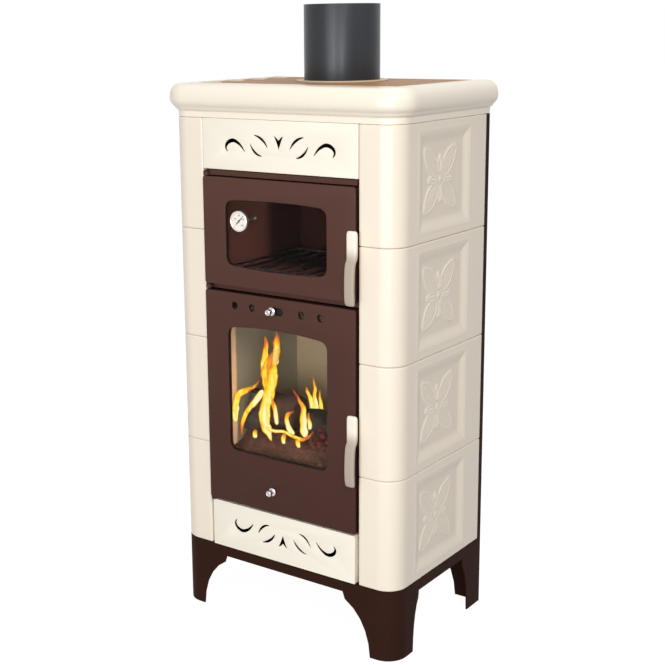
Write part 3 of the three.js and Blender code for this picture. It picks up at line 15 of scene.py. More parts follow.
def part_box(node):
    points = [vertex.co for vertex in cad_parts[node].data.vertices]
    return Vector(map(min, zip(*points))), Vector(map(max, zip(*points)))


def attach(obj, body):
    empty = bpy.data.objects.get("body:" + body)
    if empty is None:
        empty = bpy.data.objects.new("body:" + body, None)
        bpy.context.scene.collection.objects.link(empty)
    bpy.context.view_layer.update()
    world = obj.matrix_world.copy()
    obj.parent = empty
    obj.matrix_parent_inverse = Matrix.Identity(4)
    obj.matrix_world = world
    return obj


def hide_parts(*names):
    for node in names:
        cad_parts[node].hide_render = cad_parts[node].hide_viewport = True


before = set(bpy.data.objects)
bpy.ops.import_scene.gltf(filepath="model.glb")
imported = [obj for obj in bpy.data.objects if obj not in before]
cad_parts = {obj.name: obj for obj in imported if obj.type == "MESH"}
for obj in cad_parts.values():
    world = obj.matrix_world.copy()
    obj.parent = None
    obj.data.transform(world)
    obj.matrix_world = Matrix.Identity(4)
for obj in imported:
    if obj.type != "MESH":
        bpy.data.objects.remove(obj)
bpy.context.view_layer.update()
MM = 0.001
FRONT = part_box("right_tile_1")[0].y
DOOR_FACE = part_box("oven_door")[0].y

# %% [markdown]
# ## The camera
# The photograph was taken from the right of the front and from a little above. The place, turn and lens were
# fitted to points on the stove: the ends of the tile joints and the corners of doors and panels. The camera is
# written as a turn, a tilt and a small roll. A shift keeps the picture's centre where the fit puts it.

# %% Camera
CAMERA_PLACE = Vector((1.3955, -2.0320, 1.1962))
TURN, TILT, ROLL = 0.642773, 0.218017, -0.013965
LENS, SENSOR = 67.73, 36
SHIFT = 0.0851, -0.0454


def add_object(name, data):
    """A new object with this mesh, curve, light or camera, linked to the scene."""
    thing = bpy.data.objects.new(name, data)
    bpy.context.scene.collection.objects.link(thing)
    return thing


look = Vector((-sin(TURN) * cos(TILT), cos(TURN) * cos(TILT), -sin(TILT)))
level = look.cross(Vector((0, 0, 1))).normalized()
upright = level.cross(look)
right = cos(ROLL) * level + sin(ROLL) * upright
top = -sin(ROLL) * level + cos(ROLL) * upright
camera = add_object("camera", bpy.data.cameras.new("camera"))
camera.data.lens, camera.data.sensor_width = LENS, SENSOR
camera.data.shift_x, camera.data.shift_y = SHIFT
camera.matrix_world = Matrix.Translation(CAMERA_PLACE) @ Matrix((right, top, -look)).transposed().to_4x4()
bpy.context.scene.camera = camera
print("camera at", tuple(round(v, 3) for v in CAMERA_PLACE))

# %% [markdown]
# ## Nodes in a few words
# A finish is a small graph of nodes. One helper adds a node and fills its sockets, with a number or with a
# link, so that a material reads like a recipe. A second one starts a material with its Principled shader and
# sets the numbers that are the same all over the surface. The short ones name the nodes that come back often.

# %% Node helpers
def put(tree, kind, inputs=None, **settings):
    """Add a node; inputs maps a socket's name or number to a value or to another node's output."""
    node = tree.nodes.new("ShaderNode" + kind)
    for key, value in settings.items():
        setattr(node, key, value)
    for key, value in (inputs or {}).items():
        if isinstance(value, bpy.types.NodeSocket):
            tree.links.new(value, node.inputs[key])
        else:
            node.inputs[key].default_value = value
    return node


def start_finish(name, **constants):
    """A new material: returns it with its tree, its Principled shader and the Object coordinates."""
    print("finish", name)
    finish = bpy.data.materials.new(name)
    finish.use_nodes = True
    tree = finish.node_tree
    shader = tree.nodes["Principled BSDF"]
    for key, value in constants.items():
        shader.inputs[key.replace("_", " ")].default_value = value
    place = put(tree, "TexCoord").outputs["Object"]
    return finish, tree, shader, place


def feed(shader, **sources):
    """Link outputs to the shader's sockets, each socket named with _ for a space."""
    for key, source in sources.items():
        shader.id_data.links.new(source, shader.inputs[key.replace("_", " ")])


def start_group(name, inputs, outputs):
    """A new node group with named sockets: inputs maps a name to (kind, value), outputs a name to a kind."""
    group = bpy.data.node_groups.new(name, "ShaderNodeTree")
    for key, (kind, value) in inputs.items():
        socket = group.interface.new_socket(key, in_out="INPUT", socket_type="NodeSocket" + kind)
        if value is not None:
            socket.default_value = value
    for key, kind in outputs.items():
        group.interface.new_socket(key, in_out="OUTPUT", socket_type="NodeSocket" + kind)
    return group, group.nodes.new("NodeGroupInput").outputs, group.nodes.new("NodeGroupOutput").inputs


def srgb(red, green, blue):
    """A colour as a screen shows it, 0 to 255, as the linear colour that a shader takes."""
    share = np.array([red, green, blue]) / 255
    linear = np.where(share <= 0.04045, share / 12.92, ((share + 0.055) / 1.055) ** 2.4)
    return (*linear.tolist(), 1.0)


def use_group(tree, group, inputs):
    """Place a node group in a material with its own values."""
    return put(tree, "Group", inputs, node_tree=group).outputs


def remap(tree, value, low, high, at_low=0.0, at_high=1.0):
    """A value carried from low..high to at_low..at_high and held at both ends."""
    return put(tree, "MapRange", {0: value, 1: low, 2: high, 3: at_low, 4: at_high}).outputs[0]


def reckon(tree, operation, *values, clamp=False):
    """The result of a Math node that takes these values in turn."""
    return put(tree, "Math", dict(enumerate(values)), operation=operation, use_clamp=clamp).outputs[0]


def noise(tree, place, scale, **more):
    """A noise of that scale, from 0 to 1."""
    return put(tree, "TexNoise", {"Vector": place, "Scale": scale, **more}).outputs["Fac"]


def carried(tree, name):
    """A value that the mesh carries at its points."""
    return put(tree, "Attribute", attribute_name=name).outputs["Fac"]


def part_of(tree, place, axis):
    """One coordinate of a place."""
    return put(tree, "SeparateXYZ", {0: place}).outputs[axis]


def blend_colours(tree, share, first, second, way="MIX"):
    """A colour between two, by a share; way is the blend's name."""
    return put(tree, "Mix", {0: share, 6: first, 7: second}, data_type="RGBA", blend_type=way).outputs[2]


# %% [markdown]
# ## Effects that several finishes share
# Glaze, enamel, paint and clay differ in colour, but each has a large soft unevenness in its colour, a fine
# ripple in its surface, and places that are rubbed or dirty. Each of these effects is one node group, so a
# finish only chooses its colours and scales.

# %% Shared groups
def make_mottle():
    """Two colours mixed by a soft noise: share = noise at Scale, stretched by Contrast round its middle."""
    group, given, out = start_group(
        "mottle",
        {"Place": ("Vector", None), "Colour A": ("Color", None), "Colour B": ("Color", None),
         "Scale": ("Float", 6.0), "Contrast": ("Float", 1.0)},
        {"Colour": "Color", "Share": "Float"},
    )
    centred = reckon(group, "SUBTRACT", noise(group, given["Place"], given["Scale"], Detail=5.0), 0.5)
    share = reckon(group, "MULTIPLY_ADD", centred, given["Contrast"], 0.5, clamp=True)
    group.links.new(blend_colours(group, share, given["Colour A"], given["Colour B"]), out["Colour"])
    group.links.new(share, out["Share"])
    return group


def make_ripple():
    """A height: a broad noise plus Fine times a noise eight times smaller."""
    group, given, out = start_group(
        "ripple",
        {"Place": ("Vector", None), "Scale": ("Float", 40.0), "Fine": ("Float", 0.3)},
        {"Height": "Float"},
    )
    broad = noise(group, given["Place"], given["Scale"], Detail=1.0)
    small = noise(group, given["Place"], reckon(group, "MULTIPLY", given["Scale"], 8.0), Detail=2.0)
    group.links.new(reckon(group, "MULTIPLY_ADD", small, given["Fine"], broad), out["Height"])
    return group


def make_specks():
    """A mask of small round specks: 1 inside a Voronoi cell's core of that Size, 0 outside."""
    group, given, out = start_group(
        "specks",
        {"Place": ("Vector", None), "Scale": ("Float", 300.0), "Size": ("Float", 0.2)},
        {"Mask": "Float"},
    )
    cells = put(group, "TexVoronoi", {"Vector": given["Place"], "Scale": given["Scale"]})
    inside = reckon(group, "SUBTRACT", given["Size"], cells.outputs["Distance"])
    group.links.new(reckon(group, "MULTIPLY", inside, 12.0, clamp=True), out["Mask"])
    return group


def mottled(tree, place, first, second, scale, contrast):
    """The mottle group's outputs for two colours."""
    return use_group(tree, mottle, {"Place": place, "Colour A": first, "Colour B": second,
                                    "Scale": scale, "Contrast": contrast})


def roughen(tree, shader, place, scale, fine, strength, depth):
    """Send the ripple group through a bump of that strength and depth to the shader's normal."""
    height = use_group(tree, ripple, {"Place": place, "Scale": scale, "Fine": fine})["Height"]
    feed(shader, Normal=put(tree, "Bump", {"Height": height, "Strength": strength,
                                           "Distance": depth}).outputs[0])


mottle, ripple, specks = make_mottle(), make_ripple(), make_specks()
print("groups", [g.name for g in bpy.data.node_groups])

# %% [markdown]
# ## Glaze on the tiles and the crown
# The tiles are pressed clay under a cream glaze. While it melts, glaze runs off the ridges and pools in the
# hollows, so ridges look paler and hollows a little greyer. A value that each tile's mesh carries, "pool",
# says how deep a point lies in the relief. The rest is a faint mottle, a slow waviness that breaks up
# reflections, and a few iron specks.

# %% Glaze
def make_glaze(name, face, pooled):
    """Cream glaze: mottle, darker by the mesh's pool value, specks and a wavy gloss."""
    finish, tree, shader, place = start_finish(name, Coat_Roughness=0.12, Coat_Weight=0.2, IOR=1.45)
    base = mottled(tree, place, face, pooled, 7.0, 0.4)
    deep = blend_colours(tree, carried(tree, "pool"), base["Colour"], pooled)
    spots = use_group(tree, specks, {"Place": place, "Scale": 48.0, "Size": 0.03})["Mask"]
    faint = reckon(tree, "MULTIPLY", spots, 0.25)
    feed(shader, Base_Color=blend_colours(tree, faint, deep, srgb(180, 150, 118)),
         Roughness=remap(tree, base["Share"], 0, 1, 0.3, 0.4))
    roughen(tree, shader, place, scale=16.0, fine=0.05, strength=0.2, depth=0.004)
    return finish


tile_glaze = make_glaze("cream_glaze", srgb(250, 239, 223), srgb(240, 228, 211))
crown_glaze = make_glaze("crown_glaze", srgb(250, 241, 226), srgb(246, 236, 219))

# %% [markdown]
# ## Enamel on sheet steel
# The vent panels and handles are cream enamel, the doors and base brown enamel. Enamel is sprayed as a
# powder and fired, which leaves the fine dimples called orange peel, and a very soft unevenness of colour.
# These are painted shade: the doors are darker towards the bottom and on the edges and rim behind their face,
# and the oven towards its back, so these two finishes are multiplied by a tint that comes in along an axis.

# %% Enamels
def make_enamel(name, face, shade, rough, peel, scale=9.0, coat=0.0, shine=0.5, shade_falls=()):
    """Fired enamel: a soft mottle of two near colours, a roughness that follows it, and orange peel.
    Each fall is painted shade: an axis, a tint that darkens the colour, and the places where it is full and
    ends."""
    finish, tree, shader, place = start_finish(name, Coat_Weight=coat, Coat_Roughness=0.15,
                                               Specular_IOR_Level=shine)
    base = mottled(tree, place, face, shade, scale, 1.4)
    colour = base["Colour"]
    for axis, tint, full, none in shade_falls:
        share = remap(tree, part_of(tree, place, axis), full, none, 1, 0)
        colour = blend_colours(tree, share, colour, tint, "MULTIPLY")
    feed(shader, Base_Color=colour, Roughness=remap(tree, base["Share"], 0, 1, rough - 0.04, rough + 0.06))
    roughen(tree, shader, place, scale=220.0, fine=0.35, strength=peel, depth=0.0006)
    return finish


cream_enamel = make_enamel("cream_enamel", srgb(251, 245, 231), srgb(249, 242, 227), 0.34, 0.12, coat=0.1)
# Painted shade: the door enamel darkens towards the bottom, where less light falls.
door_enamel = make_enamel("door_enamel", srgb(88, 59, 51), srgb(82, 54, 47), 0.46, 0.3, shine=0.14,
                          shade_falls=[("Z", (0.6, 0.5, 0.47, 1.0), 0.26, 0.9),
                                 # Painted shade: the side faces and rim behind the door's face are darkened as
                                 # the shadow of the gap round the door.
                                 ("Y", (0.3, 0.22, 0.2, 1.0), DOOR_FACE + 0.005, DOOR_FACE + 0.002)])
frame_enamel = make_enamel("frame_enamel", srgb(85, 56, 50), srgb(78, 51, 45), 0.5, 0.3, shine=0.12)
base_enamel = make_enamel("base_enamel", srgb(56, 34, 27), srgb(49, 30, 24), 0.5, 0.35, shine=0.02)
cover_enamel = make_enamel("cover_enamel", srgb(177, 135, 95), srgb(167, 125, 87), 0.45, 0.2, shine=0.06)
collar_enamel = make_enamel("collar_enamel", srgb(226, 204, 178), srgb(218, 195, 168), 0.4, 0.2, shine=0.2)
# Painted shade: the oven enamel darkens towards the back of the oven, deeper in its shadow.
oven_enamel = make_enamel("oven_enamel", srgb(108, 66, 56), srgb(96, 56, 47), 0.45, 0.25, shine=0.06,
                          shade_falls=[("Y", (0.16, 0.1, 0.09, 1.0), FRONT + 0.185, FRONT + 0.15)])

# %% [markdown]
# The handles are enamelled cream. From the lower half of the head down, a painted shade of grey-beige comes
# in softly over the head and the lever. The mesh carries that share as a value.

# %% Handle finish
def make_handle_finish(name):
    """Cream enamel that turns to a painted shade of grey-beige by a value that the mesh carries."""
    finish, tree, shader, place = start_finish(name, Coat_Roughness=0.2, Specular_IOR_Level=0.4)
    cream = mottled(tree, place, srgb(251, 243, 229), srgb(246, 237, 222), 30.0, 1.4)
    shaded_cream = mottled(tree, place, srgb(184, 170, 157), srgb(176, 161, 148), 30.0, 1.4)
    lever_shade = carried(tree, "lever_shade")
    feed(shader, Base_Color=blend_colours(tree, lever_shade, cream["Colour"], shaded_cream["Colour"]),
         Roughness=remap(tree, lever_shade, 0, 1, 0.34, 0.5), Coat_Weight=remap(tree, lever_shade, 0, 1, 0.2, 0))
    roughen(tree, shader, place, scale=220.0, fine=0.35, strength=0.1, depth=0.0006)
    return finish


handle_enamel = make_handle_finish("handle_enamel")

# %% [markdown]
# ## Painted, sooty and bare metal
# The flue pipe has a dark heat paint, brushed lengthwise, so its highlights are long vertical bands. Inside
# the stove the steel is dull with soot and bare iron is brown-grey and grainy. The knobs and the
# thermometer's rim are chrome, with faint polishing marks.

# %% Metals
def make_metal(name, face, shade, rough, metallic, stretch=(1, 1, 1), scale=60.0, grain=0.15, shine=0.5):
    """Metal or paint on metal: a noise stretched along one direction colours it and dents it a little."""
    finish, tree, shader, place = start_finish(name, Metallic=metallic, Specular_IOR_Level=shine)
    turned = put(tree, "Mapping", {"Vector": place, "Scale": stretch}).outputs[0]
    base = mottled(tree, turned, face, shade, scale, 1.5)
    feed(shader, Base_Color=base["Colour"],
         Roughness=remap(tree, base["Share"], 0, 1, max(rough - 0.06, 0.03), rough + 0.08))
    roughen(tree, shader, turned, scale * 3, fine=0.5, strength=grain, depth=0.0005)
    return finish


pipe_paint = make_metal("pipe_paint", srgb(57, 59, 63), srgb(51, 53, 57), 0.34, 0.55, (1, 1, 0.06), 90.0,
                        0.1, 0.3)
black_steel = make_metal("black_steel", srgb(44, 38, 35), srgb(34, 29, 27), 0.6, 0.2, shine=0.2)
cast_grate = make_metal("cast_grate", srgb(60, 52, 47), srgb(44, 38, 34), 0.75, 0.3, scale=120.0, grain=0.6,
                        shine=0.2)
bright_wire = make_metal("bright_wire", srgb(150, 146, 144), srgb(132, 126, 122), 0.3, 1.0)
chrome = make_metal("chrome", srgb(206, 198, 198), srgb(186, 176, 176), 0.2, 1.0, grain=0.03)
rim_chrome = make_metal("rim_chrome", srgb(240, 230, 226), srgb(228, 217, 212), 0.22, 0.85, grain=0.03)
needle_black = make_metal("needle_black", srgb(52, 44, 42), srgb(42, 36, 34), 0.5, 0.1, shine=0.2)

# %% [markdown]
# ## Fire clay
# The firebox is lined with light bricks of pressed clay. Smoke leaves an olive-grey film on them, black under
# the baffle, while the hot air that keeps the glass clean also burns the film off the first few centimetres,
# where the bare tan clay shows.

# %% Fire clay
BRICK_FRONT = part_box("firebrick_left")[0].y
BRICK_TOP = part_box("firebrick_left")[1].z
BARE, FILMED = BRICK_FRONT + 0.029, BRICK_FRONT + 0.036


def make_fire_clay(name, clean, sooty, soot_from, soot_to):
    """Pressed clay: bare for 3 cm from the brick's front end, smoke-grey behind, black above soot_to."""
    finish, tree, shader, place = start_finish(name, Roughness=0.92, Specular_IOR_Level=0.2)
    film = mottled(tree, place, *sooty, 9.0, 1.6)["Colour"]
    ragged = reckon(tree, "MULTIPLY_ADD", noise(tree, place, 30.0), 0.006, part_of(tree, place, "Y"))
    tone = blend_colours(tree, remap(tree, ragged, BARE, FILMED), clean, film)
    soot = remap(tree, part_of(tree, place, "Z"), soot_from, soot_to)
    tone = blend_colours(tree, soot, tone, srgb(40, 32, 28))
    pits = use_group(tree, specks, {"Place": place, "Scale": 260.0, "Size": 0.2})["Mask"]
    feed(shader, Base_Color=blend_colours(tree, pits, tone, sooty[1]))
    roughen(tree, shader, place, scale=160.0, fine=0.8, strength=0.4, depth=0.0012)
    return finish


fire_clay = make_fire_clay("fire_clay", srgb(250, 205, 165), (srgb(152, 142, 122), srgb(136, 127, 109)),
                           BRICK_TOP - 0.04, BRICK_TOP - 0.015)
back_clay = make_fire_clay("back_clay", srgb(204, 184, 152), (srgb(166, 148, 121), srgb(152, 135, 110)),
                           BRICK_TOP - 0.11, BRICK_TOP - 0.07)

# %% [markdown]
# ## Glass
# The door glass is a clear ceramic pane. Light that a lamp sends through it has to reach the bricks behind,
# so the material lets shadow rays through and stays plain glass for all others. A thin pane bends light
# very little, and a low index of refraction also keeps the reflection of the white studio faint.

# %% Glass
def make_glass(name, tint, shadow_share):
    """Clear glass whose Alpha drops for shadow rays alone."""
    finish, tree, shader, place = start_finish(name, Base_Color=tint, Roughness=0.0, IOR=1.1,
                                               Transmission_Weight=1.0)
    shadow = put(tree, "LightPath").outputs["Is Shadow Ray"]
    feed(shader, Alpha=remap(tree, shadow, 0, 1, 1, shadow_share))
    streaks = put(tree, "Mapping", {"Vector": place, "Scale": (3.0, 3.0, 0.8)}).outputs[0]
    roughen(tree, shader, streaks, scale=6.0, fine=0.0, strength=0.02, depth=0.001)
    return finish


door_glass = make_glass("door_glass", (0.98, 0.98, 0.97, 1), 0.12)

# %% [markdown]
# ## Surfaces from arrays
# Most of the new pieces are grids: an array of points with a row for each step along the piece and a column
# for each step round it. Two neighbouring rows and columns make a face. Ends are closed with one many-sided
# face, rows that meet in a point are welded, and the faces are then turned outwards.

# %% Mesh helpers
def coords(*columns):
    """Points from their coordinates, each an array or one number for all of them."""
    return np.stack(np.broadcast_arrays(*columns), -1)


def build(name, points, faces, sharp=38, values=None):
    """A mesh object from points and faces, with doubles welded, faces turned outwards and soft shading."""
    mesh = bpy.data.meshes.new(name)
    mesh.from_pydata(np.asarray(points).reshape(-1, 3).tolist(), [], faces)
    for key, data in (values or {}).items():
        mesh.attributes.new(key, "FLOAT", "POINT").data.foreach_set("value", data.astype(np.float32).ravel())
    work = bmesh.new()
    work.from_mesh(mesh)
    bmesh.ops.remove_doubles(work, verts=work.verts, dist=2e-6)
    bmesh.ops.recalc_face_normals(work, faces=work.faces)
    work.to_mesh(mesh)
    work.free()
    mesh.shade_smooth()
    mesh.set_sharp_from_angle(angle=radians(sharp))
    return add_object(name, mesh)


def net(rows, columns, wrap_rows=False, wrap_columns=False, caps=(), start=0):
    """The faces of a grid whose first point has the number start; caps names the ends that are closed."""
    index = start + np.arange(rows * columns).reshape(rows, columns)
    around = np.concatenate([index, index[:1]]) if wrap_rows else index
    around = np.concatenate([around, around[:, :1]], 1) if wrap_columns else around
    faces = np.stack([around[:-1, :-1], around[1:, :-1], around[1:, 1:], around[:-1, 1:]], -1)
    ends = {"first": index[0], "last": index[-1][::-1]}
    return faces.reshape(-1, 4).tolist() + [ends[cap].tolist() for cap in caps]


def skin(name, grid, wrap_rows=False, wrap_columns=False, caps=(), sharp=38, values=None):
    """A surface over one grid [row, column, xyz]."""
    return build(name, grid, net(*grid.shape[:2], wrap_rows, wrap_columns, caps), sharp, values)


def loft(name, grid, sharp=38, values=None):
    """A solid over one grid, closed round its columns and at its ends."""
    return skin(name, grid, wrap_columns=True, caps=("first", "last"), sharp=sharp, values=values)


def dress(piece, body, slot, finish, *nodes):
    """Give a piece its finish and the body it rides on, and hide the CAD nodes it stands for; slot is not
    used.
    """
    piece.data.materials.clear()
    piece.data.materials.append(finish)
    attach(piece, body)
    if nodes:
        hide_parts(*nodes)
    print(piece.name, len(piece.data.polygons), "faces on", body)


# %% [markdown]
# ## The corner tiles
# Each tile wraps a corner: a narrow leg on the front, a round corner and a long side with a pressed relief, a
# sunk frame round four leaves. The surface is a grid: one direction runs along the tile's plan, the other
# round its section, from the inner face over the rounded top edge, down the glazed face and back. On the
# side, the relief pushes the face inwards. Both ends are rounded by letting the section shrink.

# %% Relief of the tiles
def smooth(low, high, value):
    """0 below low, 1 above high, and a soft S between."""
    t = np.clip((value - low) / (high - low), 0, 1)
    return t * t * (3 - 2 * t)


TILE_LOW, TILE_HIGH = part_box("right_tile_1")
HALF_WIDTH = TILE_HIGH.x
SEAM = TILE_LOW.x
TILE_DEPTH = TILE_HIGH.y - FRONT
TILE_HEIGHT = TILE_HIGH.z - TILE_LOW.z
CORNER_RADIUS = 42 * MM
TILE_WALL = 14 * MM
TILE_EDGE = 2.6 * MM
FIELD_FRONT, FIELD_BACK = 74 * MM, 265 * MM
FIELD_LOW, FIELD_HIGH = 18 * MM, 203 * MM
FIELD_BEVEL, FIELD_DEPTH = 24 * MM, 6.4 * MM
FLOWER_AHEAD = 10 * MM
DRY_HEIGHT, PROUD = 2.6 * MM, 0.45 * MM
print("tile", [round(size, 4) for size in (HALF_WIDTH - SEAM, TILE_DEPTH, TILE_HEIGHT)])


def ridge(distance, width):
    """A rounded ridge: 1 on its line, falling like a bell with that width."""
    return np.exp(-((distance / width) ** 2))


def leaf_height(along, across, start, end, half, broad):
    """A leaf: a raised outline where |across| meets the lens, two ribs inside a broad one, and a vein."""
    t = np.clip((along - start) / (end - start), 1e-4, 1 - 1e-4)
    lens = half * np.sin(pi * t ** 0.9) ** 0.8
    fade = smooth(start - 2 * MM, start + 5 * MM, along) * (1 - smooth(end - 4 * MM, end + 2 * MM, along))
    outline = ridge(np.abs(across) - lens, 2.8 * MM) * 2.3 * MM
    body = 1.0 * MM * smooth(-2 * MM, 3 * MM, lens - np.abs(across))
    ribs = ridge(np.abs(across) - 0.42 * lens, 1.9 * MM) * (2.0 if broad else 0.0) * MM
    vein = ridge(across, 1.5 * MM) * (0.9 if broad else 1.6) * MM
    return fade * np.maximum(np.maximum(outline, body + vein), ribs)


def relief(along, up):
    """Depth of the relief below the tile's face, and how much glaze pools there."""
    inset = np.minimum(np.minimum(along - FIELD_FRONT, FIELD_BACK - along),
                       np.minimum(up - FIELD_LOW, FIELD_HIGH - up))
    depth = FIELD_DEPTH * smooth(0, FIELD_BEVEL, inset)
    rim = ridge(inset + 1.2 * MM, 1.8 * MM) * 0.5 * MM
    x = along - (FIELD_FRONT + FIELD_BACK) / 2 + FLOWER_AHEAD
    z = up - (FIELD_LOW + FIELD_HIGH) / 2
    height = np.zeros_like(x)
    for turn in np.arange(4) * pi / 2:
        for angle, start, end, half, broad in ((turn + pi / 4, 8, 84, 17, True), (turn, 10, 46, 7, False)):
            run = x * cos(angle) + z * sin(angle)
            side = -x * sin(angle) + z * cos(angle)
            height = np.maximum(height, leaf_height(run, side, start * MM, end * MM, half * MM, broad))
    height = np.maximum(height, ridge(np.hypot(x, z), 8 * MM) * 3.2 * MM)
    height = height * smooth(0, FIELD_BEVEL, inset)
    pool = smooth(0, FIELD_BEVEL, inset) * (1 - height / DRY_HEIGHT).clip(0, 1)
    return depth - height - rim, pool


def tile_section():
    """The closed section as (depth, height), from the inner top edge over the glazed face and back, and
    which of its points lie on that face."""
    edge, top = TILE_EDGE, TILE_HEIGHT - TILE_EDGE
    arc = np.linspace(0, pi / 2, 6)
    sine, cosine = edge * np.sin(arc), edge * np.cos(arc)
    face = coords(0.0, np.linspace(edge, top, 150)[::-1])
    line = np.concatenate([coords(edge - sine, top + cosine), face[1:-1], coords(edge - cosine, edge - sine),
                           coords(TILE_WALL, [0, TILE_HEIGHT / 2, TILE_HEIGHT])])
    return line, (line[:, 0] < edge / 2).astype(float)


def tile_plan():
    """The right-hand tile's plan: its outer points, and the direction that leads inwards from each."""
    flat = coords(np.linspace(SEAM, HALF_WIDTH - CORNER_RADIUS, 8), 0.0)
    turn = np.linspace(0, pi / 2, 26)[1:-1]
    sine, cosine = np.sin(turn), np.cos(turn)
    arc = coords(HALF_WIDTH - CORNER_RADIUS + CORNER_RADIUS * sine, CORNER_RADIUS - CORNER_RADIUS * cosine)
    run = np.concatenate([np.linspace(CORNER_RADIUS, 70 * MM, 8), np.linspace(72 * MM, 268 * MM, 150),
                          np.linspace(270 * MM, TILE_DEPTH, 12)])
    inward = [coords(0.0, np.ones(len(flat))), coords(-sine, cosine), coords(-1.0, np.zeros(len(run)))]
    return np.concatenate([flat, arc, coords(HALF_WIDTH, run)]), np.concatenate(inward)


# %% Corner tiles
def travelled(line):
    """How far each point of a line lies from its start, measured along the line."""
    return np.concatenate([[0], np.cumsum(np.linalg.norm(np.diff(line, axis=0), axis=1))])


def read_at(stops, marks, table):
    """Every column of a table read at the stops, straight between its marks."""
    return np.stack([np.interp(stops, marks, column) for column in table.T], -1)


def corner_tile(name, mirror, lift):
    """Grid [along the plan, round the section]: point = plan + depth x inward, the relief on the side."""
    section, face = tile_section()
    plan, inward = tile_plan()
    travel, edge = travelled(plan), TILE_EDGE
    bend = np.linspace(0, pi / 2, 5)
    stops = np.concatenate([edge - edge * np.cos(bend)[:-1],
                            travel[(travel > edge) & (travel < travel[-1] - edge)],
                            travel[-1] - edge + edge * np.sin(bend)])
    place, aim = read_at(stops, travel, plan), read_at(stops, travel, inward)
    aim /= np.linalg.norm(aim, axis=1, keepdims=True)
    near_end = np.minimum(stops, travel[-1] - stops)
    sink = edge - np.sqrt(np.clip(edge ** 2 - np.clip(edge - near_end, 0, edge) ** 2, 0, None))
    depth = section[None, :, 0] + sink[:, None] * face[None, :]
    height = np.clip(section[None, :, 1], sink[:, None], TILE_HEIGHT - sink[:, None])
    on_side = (aim[:, 0] < -0.9999)[:, None] & (face[None, :] > 0)
    dip, pool = relief(*np.broadcast_arrays(place[:, 1:], height))
    depth = depth + np.where(on_side, np.maximum(dip, -PROUD), 0)
    x, y = place.T[:, :, None] + aim.T[:, :, None] * depth
    grid = coords(x * (-1 if mirror else 1), y + FRONT, height + lift)
    return loft(name, grid, values={"pool": np.where(on_side, pool, 0)})


for side in ("right", "left"):
    for row in range(1, 5):
        node = f"{side}_tile_{row}"
        tile = corner_tile(f"{side}_glazed_tile_{row}", side == "left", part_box(node)[0].z)
        dress(tile, "root", "glazed_tile", tile_glaze, node)

# %% [markdown]
# ## The crown
# The crown is one long glazed moulding that runs round three sides. From below, its profile is a flush band,
# a small cove and a fat bullnose that rolls over to the flat top. The same profile is carried round the plan;
# at the top it ends at the rebate for the cover, which is a plain rectangle, so there each row of the grid
# slides to its nearest place on that rectangle.

# %% Crown
CROWN_LOW, CROWN_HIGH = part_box("crown_surround")
CROWN_BULGE = CROWN_HIGH.x - HALF_WIDTH
CROWN_HEIGHT = CROWN_HIGH.z - CROWN_LOW.z
COVER_LOW, COVER_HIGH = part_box("top_plate")
BACK = CROWN_HIGH.y
CROWN_WALL, LIP_WIDTH, LIP_HEIGHT = 18 * MM, 8 * MM, 18 * MM
REBATE_PLAY, SEAT_PLAY = 0.6 * MM, 0.3 * MM


def crown_profile():
    """Outset and height of the moulding, from the underside up to the flat top, through a smooth curve."""
    marks = np.array([
        [0, 0], [0.1, 0], [0.175, 0.0], [0.2, 0.1], [0.225, 0.28], [0.27, 0.4], [0.31, 0.5], [0.35, 0.68],
        [0.4, 0.84], [0.47, 0.96], [0.56, 1.0], [0.65, 0.985], [0.74, 0.91], [0.82, 0.79], [0.89, 0.6],
        [0.94, 0.4], [0.98, 0.12], [0.998, -0.2], [1.0, -0.6],
    ])
    share = np.linspace(0, 1, len(marks))
    fine = np.linspace(0, 1, 90)
    soft = read_at(fine, share, marks)
    for _ in range(3):
        soft[1:-1] = (soft[:-2] + 2 * soft[1:-1] + soft[2:]) / 4
    return soft[:, 1] * CROWN_BULGE, soft[:, 0] * CROWN_HEIGHT


def crown_grid():
    """Grid [along the plan, up the profile]: point = plan + outset x outward."""
    outset, height = crown_profile()
    reach = CORNER_RADIUS
    turn = np.linspace(0, pi / 2, 33)
    depth = np.linspace(BACK - FRONT, reach, 60)[:-1]
    corner = coords(HALF_WIDTH - reach + reach * np.cos(turn), reach - reach * np.sin(turn))
    side = np.concatenate([coords(HALF_WIDTH, depth), corner])
    outward = np.concatenate([coords(1.0, np.zeros(len(depth))), coords(np.cos(turn), -np.sin(turn))])
    across = np.linspace(HALF_WIDTH - reach, -HALF_WIDTH + reach, 60)[1:-1]
    mirror = np.array([-1, 1])
    plan = np.concatenate([side, coords(across, 0.0), side[::-1] * mirror])
    aim = np.concatenate([outward, coords(np.zeros(len(across)), -1.0), outward[::-1] * mirror])

    def held(half, front):
        """The plan, held within half of the middle and behind front."""
        return coords(np.clip(plan[:, 0], -half, half), np.clip(plan[:, 1], front, None))

    rim_half, rim_front = COVER_HIGH.x + REBATE_PLAY, COVER_LOW.y - FRONT - REBATE_PLAY
    rim, wall = held(rim_half, rim_front), held(HALF_WIDTH - CROWN_WALL, CROWN_WALL)
    lip = held(rim_half - LIP_WIDTH, rim_front + LIP_WIDTH)
    outer = plan[:, None, :] + aim[:, None, :] * outset[None, :, None]
    seat = COVER_LOW.z - CROWN_LOW.z - SEAT_PLAY
    pull = 0.8 * MM
    toward = rim - outer[:, -1]
    toward = toward / np.maximum(np.linalg.norm(toward, axis=1, keepdims=True), 1e-9)
    inner = [(rim - toward * pull, CROWN_HEIGHT), (rim, CROWN_HEIGHT - pull), (rim, seat), (lip, seat),
             (lip, seat - LIP_HEIGHT), (wall, seat - LIP_HEIGHT), (wall, 0.0)]
    columns = [coords(*outer.transpose(2, 0, 1), height)]
    columns += [coords(*place.T, level)[:, None] for place, level in inner]
    grid = np.concatenate(columns, 1)
    grid[:, :, 1] += FRONT
    grid[:, :, 2] += CROWN_LOW.z
    return grid


dress(loft("glazed_crown", crown_grid(), 50), "root", "glazed_tile", crown_glaze, "crown_surround")

